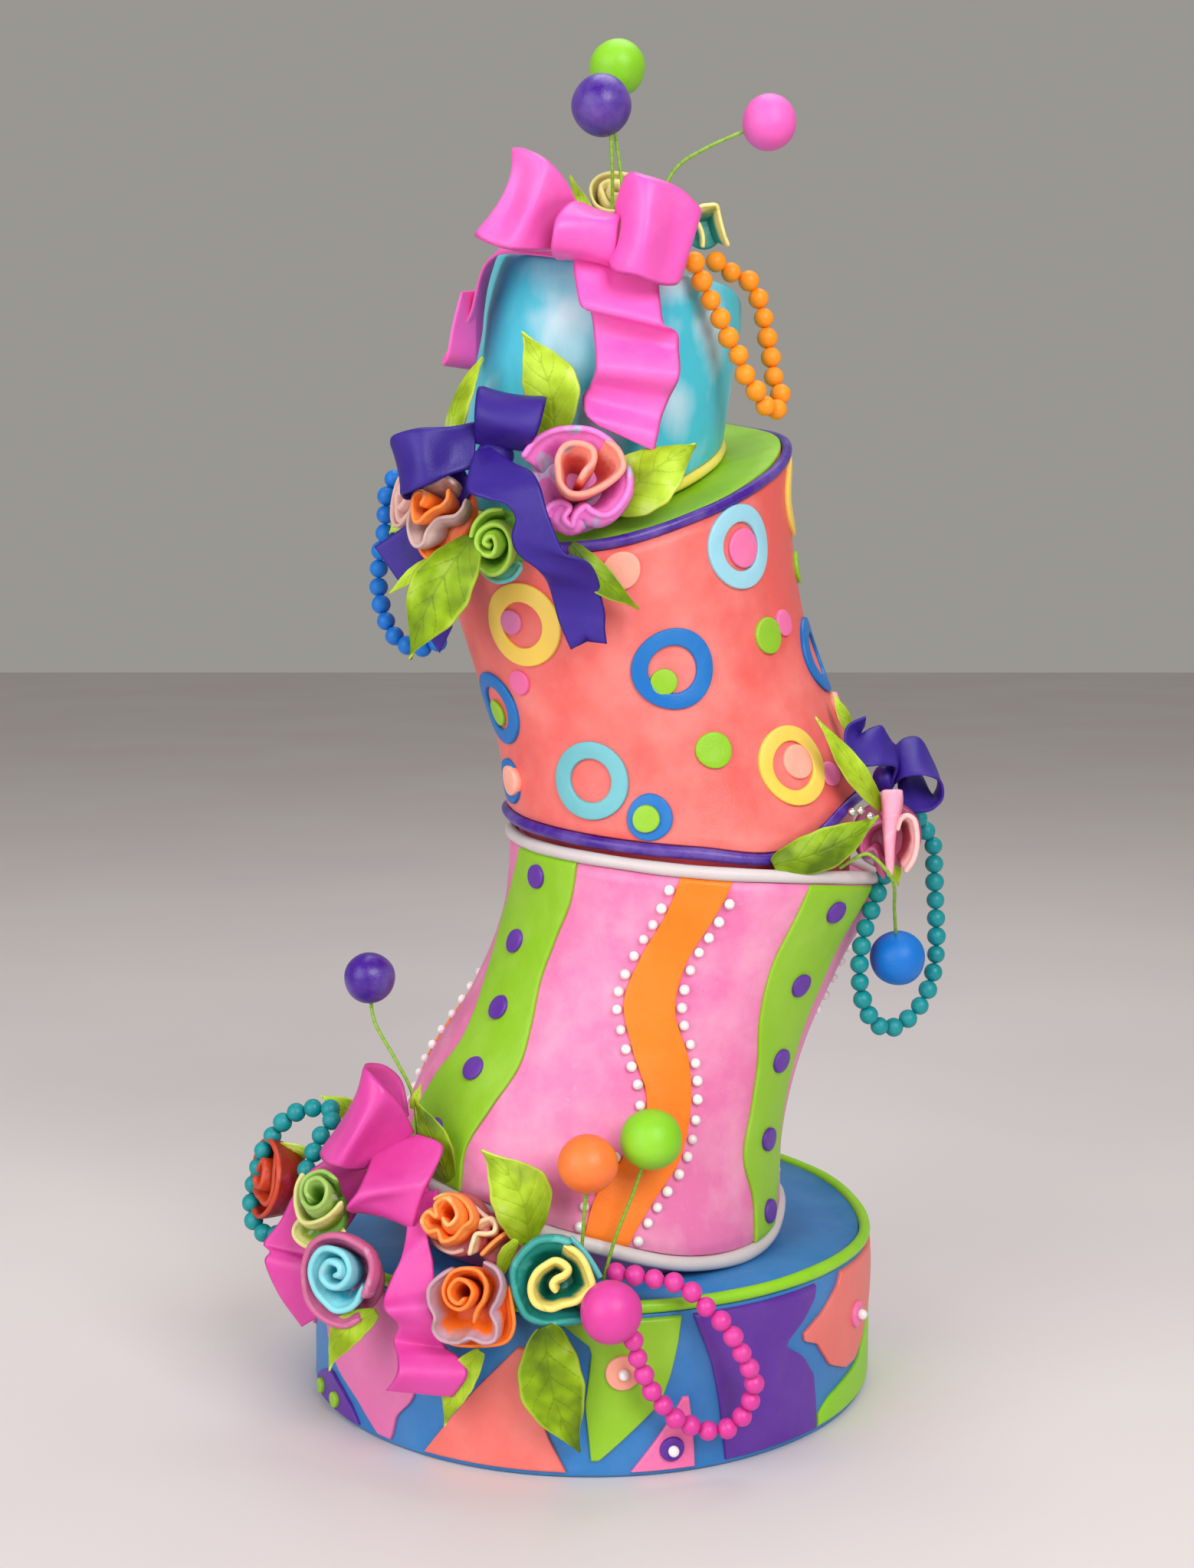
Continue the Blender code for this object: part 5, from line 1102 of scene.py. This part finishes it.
def top_sheet_skin():
    """The lime sheet: its underside, a rounded cut edge and its upper side, all on tier three's tilted
    top."""
    tier = TIERS["tier_3"]
    angles = even_turns(SHEET_STEPS)
    edge = -(TOP_ROPE["tier_3"] + ROPE_SEAT_ROOM)
    centre = np.array([tier["across"][-1], tier["depth"][-1], tier["middle"]])
    rims = [
        wall(tier, angles, 1, edge + side, rise)
        for side, rise in ((-0.8, 0.35), (-0.1, 0.6), (0, 1.3), (-0.2, 2.1), (-0.9, 2.5))
    ]
    lower = [centre + (0, 0, 0.35) + (rims[0] - centre - (0, 0, 0.35)) * share for share in (0.05, 0.5)]
    upper = [centre + (0, 0, 2.5) + (rims[-1] - centre - (0, 0, 2.5)) * share for share in (0.9, 0.5, 0.05)]
    return shell(np.array(lower + rims + upper))


# ---------------------------------------------------------------- flat cut-outs


def edge_profile(width, thick):
    """A flat cut-out's section across: distances in from its two edges and how far out each point stands,
    rounded at both upper edges."""
    lip = np.minimum(LIP, 0.3 * width)
    inward = np.array([0, 0, 0.12, 0.45, 1.0])
    out = np.array([-SINK, 0.45, 0.78, 0.95, 1.0])
    return lip[..., None] * inward, np.where(out < 0, out, thick * out)


def strip_skin(tier, heights, left, right, thick=PASTE, rows=120, columns=14, smooth=True):
    """A cut-out between two edges: at each height the section runs from the left edge to the right, flat with
    rounded lips, and its ends are rounded too."""
    share = np.linspace(0, 1, rows)
    even = np.linspace(0, 1, len(heights))
    level = np.interp(share, even, heights)
    if smooth:
        low, high = through(left, share), through(right, share)
    else:
        low, high = np.interp(share, even, left), np.interp(share, even, right)
    radius = through(tier["radius"], level)
    low, high = np.radians(low), np.radians(high)
    width = np.maximum((high - low) * radius, 0.3)
    inward, out = edge_profile(width, thick)
    start = low[:, None] + inward / radius[:, None]
    stop = high[:, None] - inward[:, ::-1] / radius[:, None]
    between = np.linspace(0, 1, columns)[1:-1]
    inside = start[:, -1:] + (stop[:, :1] - start[:, -1:]) * between
    angles = np.concatenate([start, inside, stop], 1)
    rise = np.concatenate([out, np.full(len(between), thick), out[::-1]])
    rise = np.broadcast_to(rise, angles.shape).copy()
    fade = np.minimum(1, np.minimum(np.arange(rows), np.arange(rows)[::-1]) / 1.5 + 0.25)[:, None]
    rise = np.where(rise > 0, rise * fade, rise)
    under = np.linspace(1, 0, columns + 2)[1:-1]
    back = angles[:, :1] + (angles[:, -1:] - angles[:, :1]) * under
    angles = np.concatenate([angles, back], 1)
    rise = np.concatenate([rise, np.full(back.shape, -SINK)], 1)
    return shell(wall(tier, angles, level[:, None], rise))


def round_skin(tier, angle, height, diameter, hole=0, layer=1, seed=0.0):
    """A hand-cut disc or ring: its section, with rounded upper edges, goes round an almost true circle,
    which is laid out level and square to level on the leaning wall."""
    angle = math.radians(angle)
    turn = even_turns(ROUND_STEPS)
    base = PASTE * (layer - 1)
    wobble = 1 + 0.018 * np.sin(2 * turn + seed) + 0.010 * np.sin(3 * turn + 2 * seed)
    outer, inner = diameter / 2, hole / 2
    lip = min(LIP, 0.2 * diameter)
    rounding = [(0, 0.45), (0.15, 0.8), (0.5, 0.96), (1, 1)]
    edge = [(outer, -SINK), *((outer - inward * lip, base + up * PASTE) for inward, up in rounding)]
    if hole:
        edge += ((inner + inward * lip, base + up * PASTE) for inward, up in rounding[::-1])
        edge.append((inner, -SINK))
    else:
        edge += [(outer * 0.5, base + PASTE), (0.3, base + PASTE)]
    here = wall(tier, angle, height)
    aside = (wall(tier, angle + STEP, height) - here) / STEP
    upward = (wall(tier, angle, height + STEP) - here) / STEP
    level = unit(aside)
    lean = upward @ level
    climb = np.linalg.norm(upward - lean * level)
    loops = []
    for wide, out in edge:
        up = wide * wobble * np.sin(turn) / climb
        swing = (wide * wobble * np.cos(turn) - up * lean) / np.linalg.norm(aside)
        loops.append(wall(tier, angle + swing, height + up, out))
    loops = np.array(loops)
    return shell(loops.transpose(1, 0, 2), ring=True) if hole else shell(loops)


def round_section(turn, side, over):
    """Unit circles at the angles of turn, in the plane of side and over for each point of a path."""
    return np.cos(turn)[:, None] * side[:, None] + np.sin(turn)[:, None] * over[:, None]


def sphere_skin(centre, diameter, sides, rings, squash=(1, 1, 1)):
    """A ball: circles whose radius is the cosine of their latitude."""
    turn = even_turns(sides)
    rise = (np.arange(rings) + 1) * math.pi / (rings + 1) - math.pi / 2
    unit_ball = np.stack(
        [
            np.cos(rise)[:, None] * np.cos(turn),
            np.cos(rise)[:, None] * np.sin(turn),
            np.sin(rise)[:, None] + 0 * turn,
        ], -1
    )
    skin = list(shell(np.asarray(centre, float) + diameter / 2 * unit_ball * squash))
    skin[0][-2:] = np.asarray(centre, float) + diameter / 2 * np.array([[0, 0, -1], [0, 0, 1]]) * squash
    return tuple(skin)


def stripe_edges(edges, turn):
    """A stripe's edges turned round the tier."""
    return [np.asarray(edge, float) + turn for edge in edges]


def pearl_rows():
    """Pearls beside both edges of each orange stripe, one pitch apart up the wall."""
    tier = TIERS["tier_2"]
    skins = []
    low, high = STRIPE_SPAN
    for turn in ORANGE_TURNS:
        left, right = stripe_edges(ORANGE_STRIPE, turn)
        for edge, way in ((left, -1), (right, 1)):
            fine = np.linspace(0.02, 0.98, 400)
            share = (fine - low) / (high - low)
            radius = through(tier["radius"], fine)
            angle = np.radians(through(edge, share)) + way * 0.6 * PEARL / radius
            spots = wall(tier, angle, fine, PEARL / 2 - SINK)
            lengths = lengths_along(spots)
            order = np.arange(int(lengths[-1] / PEARL_PITCH))
            wanted = (order + 0.5 + 0.05 * np.sin(1.7 * order + turn)) * PEARL_PITCH
            for k, place in enumerate(points_at(spots, lengths, wanted)):
                skins.append(sphere_skin(place, PEARL * (1 + 0.05 * math.sin(5 * k + turn)), 10, 6))
    return skins


# ---------------------------------------------------------------- ribbons, roses, leaves, balls and beads


def sheet_skin(middle, thick, across_mark=None):
    """A thin piece with rounded edges round a middle surface: each row's section runs over its face and
    back under it."""
    rows, columns = middle.shape[:2]
    along = np.gradient(middle, axis=0)
    across = np.gradient(middle, axis=1)
    normal = unit(np.cross(along, across))
    w = np.linspace(-1, 1, columns)
    swell = np.sqrt(np.clip(1 - np.abs(w) ** 14, 0.0, 1))
    ends = np.sqrt(np.clip(1 - np.abs(np.linspace(-1, 1, rows)) ** 60, 0.02, 1))
    offset = normal * (thick / 2 * swell * ends[:, None])[..., None]
    face, back = middle + offset, (middle - offset)[:, -2:0:-1]
    marks = None
    if across_mark is not None:
        marks = np.concatenate([across_mark, across_mark[:, -2:0:-1]], 1)
    return shell(np.concatenate([face, back], 1), marks=marks)


def ribbon_skin(which):
    """A ribbon of paste ruled between two smooth edges; a notch shortens its middle towards the end."""
    first, second = (np.asarray(edge, float) for edge in RIBBONS[which])
    w = np.linspace(0, 1, 21)[None, :]
    s = np.linspace(0, 1, 16 * (len(first) - 1) + 1)[:, None]
    notch = NOTCHED.get(which, 0)
    t = s * (1 - notch * (1 - np.abs(2 * w - 1)))
    one, two = through(first, t), through(second, t)
    swing = through(SWINGS[which], t) if which in SWINGS else 0 * one
    middle = one * (1 - w[..., None]) + two * w[..., None] + swing * (4 * w * (1 - w))[..., None]
    return sheet_skin(middle, SHEET)


def facing(right, up):
    """The direction so many degrees to the right of the front, and up."""
    right, up = math.radians(right), math.radians(up)
    return np.array([math.sin(right) * math.cos(up), -math.cos(right) * math.cos(up), math.sin(up)])


def coil(radius, turns, start, pleats, ripple):
    """The lip's way in a plain coil: the radius grows with the angle, and pleats swing it in and out."""
    t = np.linspace(0, 1, int(16 * turns))
    angle = start + TAU * turns * t
    swing = 1 + ripple * np.minimum(1, 2 * t) * np.sin(pleats * angle + start)
    reach = radius * (0.10 + 0.66 * t**1.1) * swing
    return np.stack([reach * np.cos(angle), reach * np.sin(angle)], -1)


def strip_skin_of_rose(frame_of_rose, depth, strip, usual_lip):
    """A strip folded lengthwise: from a narrow foot its inner wall climbs to a round lip, half a circle
    across, and its outer wall bulges and goes back to the foot. The lip follows the route, and sinks and
    thins evenly on its way."""
    _, rises, belly, route = strip[:4]
    lips = strip[4] if len(strip) > 4 else (usual_lip, usual_lip)
    back, forward, side, over = frame_of_rose
    flat = through(route, np.linspace(0, 1, 9 * len(route)))
    t = np.linspace(0, 1, len(flat))
    heading = unit(np.gradient(flat, axis=0))
    out = np.stack([heading[:, 1], -heading[:, 0]], -1)
    if np.sum(out * flat) < 0:
        out = -out
    ends = np.sqrt(np.clip(np.minimum(t, 1 - t) * 22 + 0.25, 0, 1))
    roll = (lips[0] + (lips[1] - lips[0]) * t) * ends
    height = depth * (rises[0] + (rises[1] - rises[0]) * t) * (0.9 + 0.1 * ends)
    climb, turn = np.linspace(0, 0.93, 8), np.linspace(math.pi, 0, 9)
    fall = climb[::-1]
    v = np.concatenate([climb, np.ones(9), fall])
    off = np.concatenate([-np.ones(8), np.cos(turn), np.ones(8)])
    lift = np.concatenate([np.zeros(8), np.sin(turn), np.zeros(8)])
    bulge = np.concatenate([np.zeros(17), np.sin(math.pi * fall**1.3)]) * belly
    lean = 0.45 + 0.55 * v**1.5
    spread = roll[:, None] * off + bulge
    lateral = flat[:, None] * lean[:, None] + spread[..., None] * out[:, None]
    rise = (height - roll)[:, None] * (0.06 + 0.94 * v) + roll[:, None] * lift
    points = back + lateral[..., :1] * side + lateral[..., 1:] * over + rise[..., None] * forward
    return shell(points, marks=np.broadcast_to(v, rise.shape))


def rose_skins(name):
    """A rose's strips by paste, and the cup that closes its back."""
    centre, look, diameter, depth, lip, cup_paste, _ = ROSES[name]
    forward = facing(*look)
    side = unit(np.cross([0, 0, 1], forward))
    over = np.cross(forward, side)
    back = np.asarray(centre, float) - forward * depth / 2
    radius = diameter / 2
    if name in STRIPS:
        strips = STRIPS[name]
    else:
        paste, turns, start, pleats, ripple, belly = COILS[name]
        strips = [(paste, (1.0, 0.8), belly, coil(radius, turns, start, pleats, ripple))]
    skins = [
        (strip[0], strip_skin_of_rose((back, forward, side, over), depth, strip, lip)) for strip in strips
    ]
    around = even_turns(CUP_STEPS)
    ring = np.cos(around)[:, None] * side + np.sin(around)[:, None] * over
    profile = DEEP_CUP if name in COILS else SHALLOW_CUP
    swell = 1 + (0.05 if name in COILS else 0) * np.sin(3 * around + 1)
    cup = [back + forward * (depth * up) + ring * (radius * wide * swell)[:, None] for wide, up, _ in profile]
    marks = [np.full(CUP_STEPS, mark) for _, _, mark in profile]
    return by_finish([*skins, (cup_paste, shell(np.array(cup), marks=marks))])


def leaf_skin(base, tip, face, width, bow, curl, bend):
    """A leaf: its half width is a power of the sine along it, drawn out to a point; it is folded along the
    midrib, waves at the rim, bows in the middle, curls at the tip and bends sideways; midrib and side veins
    are pressed in."""
    base, tip = np.asarray(base, float), np.asarray(tip, float)
    along = tip - base
    across = unit(np.cross(along, face))
    up = unit(np.cross(across, along))
    t = np.linspace(0, 1, 100)[:, None]
    w = np.linspace(-1, 1, 41)[None, :]
    seed = float(abs(base.sum()) % 6)
    outline = np.sin(math.pi * (0.02 + 0.972 * t) ** 0.8) ** (0.7 + 0.75 * t)
    half = width / 2 * outline * (1 + 0.02 * np.sin(29 * t + seed))
    fold = -0.22 * half * np.abs(w) ** 1.3
    frill = 0.05 * width * np.sin(7.5 * t + 2 * w + seed) * np.abs(w) ** 2
    side_vein = np.cos(TAU * (6 * t - 1.7 * np.abs(w)))
    side_groove = 0.55 * np.clip(side_vein - 0.8, 0, 1) / 0.2 * 0.5 * (1 - np.abs(w) ** 4)
    pressed = -0.45 * np.exp(-((w / 0.05) ** 2)) - side_groove
    flat_end = np.clip(width / 20, 0.2, 1)
    rise = bow * np.sin(math.pi * t) + fold + frill + flat_end * pressed * np.sin(math.pi * t) ** 0.5
    rise = rise - curl * 14 * flat_end * np.clip(t - 0.8, 0, 1) ** 1.2
    spine = base + t[..., None] * along + (bend * np.sin(math.pi * t))[..., None] * across
    middle = spine + (half * w)[..., None] * across + rise[..., None] * up
    mark = 0.25 + 0.75 * np.abs(np.broadcast_to(w, (100, 41)))
    mark = np.where((side_vein > 0.93) & (np.abs(w) < 0.9), 0.12, mark)
    return sheet_skin(middle, LEAF_SHEET * (0.6 + 0.4 * flat_end), mark)


def ball_skin(centre, diameter, seed):
    """A ball rolled between the palms: a sphere with three faint swellings."""
    points, faces, along, across = sphere_skin((0, 0, 0), diameter, 40, 24)
    d = unit(points)
    swelling = (
        0.012 * np.sin(3 * d[:, 0] + seed)
        + 0.012 * np.sin(4 * d[:, 1] - seed)
        + 0.008 * np.sin(5 * d[:, 2] + 2 * seed)
    )
    return points * (1 + swelling)[:, None] + np.asarray(centre, float), faces, along, across


def tube_skin(points, radius):
    """A round section carried along a smooth path."""
    spine = through(points, np.linspace(0, 1, 14 * (len(points) - 1) + 1))
    along = unit(np.gradient(spine, axis=0))
    side = unit(np.cross(along, np.array([0.31, -0.9, 0.27])))
    over = np.cross(along, side)
    turn = even_turns(WIRE_SIDES)
    return shell(spine[:, None] + radius * round_section(turn, side, over))


def bead_skins(points, scale):
    """Beads one pitch apart along a smooth thread, each a little larger or smaller."""
    pitch = BEAD_PITCH * scale
    fine = through(points, np.linspace(0, 1, 60 * len(points)))
    lengths = lengths_along(fine)
    wanted = (np.arange(int(lengths[-1] / pitch)) + 0.5) * pitch
    return [
        sphere_skin(place, BEAD * scale * (1 + 0.03 * math.sin(2.1 * k)), 16, 9)
        for k, place in enumerate(points_at(fine, lengths, wanted))
    ]


# ---------------------------------------------------------------- the scene


def dress_tiers(finishes):
    """The four tiers, the lime sheet and the ropes."""
    TIERS["tier_4"]["foot"] = foot_of_tier_4()
    for name in TIERS:
        finish = finishes["teal"] if name == "tier_4" else finishes["tier_" + SLOTS[name]]
        piece(name.replace("tier", "cake_tier"), tier_skin(name), finish, [name])
    piece("lime_sheet_on_tier_3", top_sheet_skin(), finishes["lime"], ["tier_3_top_sheet"])
    for name, (_, _, _, colour) in ROPES.items():
        piece("rolled_" + name, rope_skin(name), finishes[colour], [name])


def by_finish(skins):
    """Skins grouped by their finish."""
    groups = {}
    for colour, skin in skins:
        groups.setdefault(colour, []).append(skin)
    return groups


def dress_tier_1(finishes):
    """The pennants, petals and small rounds on the bottom tier."""
    tier = TIERS["tier_1"]
    skins = []
    turned = [(k, 0) for k in range(len(PANELS))] + list(PANELS_AGAIN)
    for k, turn in turned:
        colour, heights, left, right = PANELS[k]
        thick = PASTE * (THIN_PANEL if k == 0 else 1)
        even = np.linspace(heights[0], heights[-1], len(heights) * 3)
        left, right = np.interp(even, heights, left), np.interp(even, heights, right)
        skins.append((colour, strip_skin(tier, even, left + turn, right + turn, thick, 80, 20, smooth=False)))
    pearls = []
    for turn in SMALL_ROUNDS_TURNS:
        for angle, height, diameter, colour, pearled in SMALL_ROUNDS:
            skins.append((colour, round_skin(tier, angle + turn, height, diameter, layer=2)))
            if pearled:
                place = wall(tier, math.radians(angle + turn), height, 2 * PASTE + PEARL / 2 - PEARL_BITE)
                pearls.append(sphere_skin(place, PEARL * 1.05, 20, 12))
    for colour, group in by_finish(skins).items():
        piece("tier_1_cut_outs_" + colour, merged(group), finishes[colour], ["tier_1"])
    piece("tier_1_pearls", merged(pearls), finishes["pearl"], ["tier_1"])


def dress_tier_2(finishes):
    """The swaying stripes, buttons and pearl rows."""
    tier = TIERS["tier_2"]
    heights = np.linspace(*STRIPE_SPAN, 9)
    oranges = [strip_skin(tier, heights, *stripe_edges(ORANGE_STRIPE, turn)) for turn in ORANGE_TURNS]
    piece("tier_2_orange_stripes", merged(oranges), finishes["orange_stripe"], ["tier_2"])
    limes, buttons = [], []
    for (edges, turn), heights_of_buttons in zip(LIME_TURNS, BUTTON_HEIGHTS * 2):
        left, right = stripe_edges(edges, turn)
        limes.append(strip_skin(tier, heights, left, right, columns=24))
        for height in heights_of_buttons:
            share = (height - STRIPE_SPAN[0]) / (STRIPE_SPAN[1] - STRIPE_SPAN[0])
            angle = float(through(left, share) + through(right, share)) / 2
            buttons.append(round_skin(tier, angle, height, BUTTON, layer=2, seed=height * 9))
    piece("tier_2_lime_stripes", merged(limes), finishes["lime"], ["tier_2"])
    piece("tier_2_purple_buttons", merged(buttons), finishes["grape"], ["tier_2"])
    piece("tier_2_pearl_rows", merged(pearl_rows()), finishes["pearl"], ["tier_2"])


def dress_tier_3(finishes):
    """The rings and discs, with those of the front repeated on the back."""
    back = [(item[0] + BACK_TURN, *item[1:]) for item in ROUNDS if BACK_FROM < item[0] < BACK_TO]
    skins = [
        (colour, round_skin(TIERS["tier_3"], angle, height, diameter, hole, layer, seed=angle / 7))
        for angle, height, diameter, hole, colour, layer in (*ROUNDS, *back)
    ]
    for colour, group in by_finish(skins).items():
        piece("tier_3_rounds_" + colour, merged(group), finishes[colour], ["tier_3"])


def dress_trimmings(finishes):
    """Bows, tails, roses, leaves, balls on wires and strings of beads."""
    for name, ribbons, colour in BOWS:
        skins = [ribbon_skin(which) for which in ribbons]
        if name in KNOTS:
            centre, size = KNOTS[name]
            skins.append(sphere_skin(centre, 1, 32, 18, size))
        piece("paste_" + name, merged(skins), finishes[colour], [name])
    for name, rose in ROSES.items():
        for paste, skins in rose_skins(name).items():
            piece(f"folded_{name}_{paste}", merged(skins), finishes[paste], [name])
    for name, leaf in LEAVES.items():
        # The darker paste also serves as painted shade on leaves that lie in shade.
        finish = finishes["shaded_deep_leaf" if name in SHADED_DEEP_LEAVES else "fresh_leaf"]
        piece("veined_" + name, leaf_skin(*leaf), finish, [name])
    for name, leaf in SLIVERS.items():
        piece(name, leaf_skin(*leaf), finishes["fresh_leaf"], [])
    silver = [sphere_skin(place, SILVER_BEAD, 20, 12) for place in SILVER_BEADS]
    piece("silver_beads", merged(silver), finishes["silver"], [])
    for seed, (name, (centre, diameter, route, colour)) in enumerate(PICKS.items()):
        piece("ball_of_" + name, ball_skin(centre, diameter, seed), finishes[colour], [name])
        piece("wire_of_" + name, tube_skin(route, WIRE / 2), finishes["wire"], [name])
    piece(
        "rolled_ball_magenta", ball_skin(*MAGENTA_BALL, 9), finishes["magenta"], ["ball_magenta"]
    )
    for name, (colour, points) in STRINGS.items():
        beads = merged(bead_skins(points, LARGE_BEADS.get(name, 1.0)))
        piece("string_of_" + name, beads, finishes[colour], [name])


def soft_room():
    """A dim warm white room all round."""
    world = bpy.data.worlds.new("soft_room")
    world.use_nodes = True
    background = world.node_tree.nodes["Background"]
    background.inputs["Color"].default_value = linear(ROOM_COLOUR)
    background.inputs["Strength"].default_value = ROOM_STRENGTH
    bpy.context.scene.world = world


def light_panel(name, place, aim, size, power):
    """A square studio panel, turned to the point that it is aimed at."""
    light = bpy.data.lights.new(name, "AREA")
    light.size = size
    light.energy = power
    panel = bpy.data.objects.new(name, light)
    panel.location = place
    way = np.subtract(place, aim)
    pan = math.atan2(way[0], -way[1])
    tilt = math.atan2(math.hypot(way[0], way[1]), way[2])
    panel.rotation_euler = (tilt, 0, pan)
    bpy.context.scene.collection.objects.link(panel)


def pale_floor():
    """The plain table top under the cake."""
    ways = ((-1, -1), (1, -1), (1, 1), (-1, 1))
    mesh = bpy.data.meshes.new("floor")
    mesh.from_pydata([(x * FLOOR_REACH, y * FLOOR_REACH, -FLOOR_DROP) for x, y in ways], [], [(0, 1, 2, 3)])
    mesh.materials.append(table_top())
    floor = bpy.data.objects.new("pale_floor", mesh)
    bpy.context.scene.collection.objects.link(floor)


def front_camera():
    """The camera as it stood when the photograph was taken."""
    scene = bpy.context.scene
    lens = bpy.data.cameras.new("camera")
    lens.sensor_width = SENSOR
    lens.lens = FOCAL_LENGTH / PHOTO_HEIGHT * SENSOR
    camera = bpy.data.objects.new("camera", lens)
    camera.location = CAMERA_PLACE
    camera.rotation_euler = (math.radians(CAMERA_TILT), 0, 0)
    scene.collection.objects.link(camera)
    scene.camera = camera
    scene.view_settings.view_transform = "Standard"


def make_finishes():
    """Every finish by its colour's name."""
    finishes = {name: fondant(name, *tones) for name, tones in PASTES.items()}
    finishes.update({name: marbled(name, *tones) for name, tones in ROSE_PASTES.items()})
    finishes.update({name: leaf_paste(name, *tones) for name, tones in LEAF_PASTES.items()})
    finishes.update(teal=brushed_pearl_and_sheen(), pearl=pearl_sugar(), wire=florist_wire(), silver=silver_sugar())
    return finishes


def main():
    """Dresses the cake and sets the light and camera."""
    finishes = make_finishes()
    dress_tiers(finishes)
    dress_tier_1(finishes)
    dress_tier_2(finishes)
    dress_tier_3(finishes)
    dress_trimmings(finishes)
    soft_room()
    for panel in LIGHT_PANELS:
        light_panel(*panel)
    pale_floor()
    front_camera()


main()
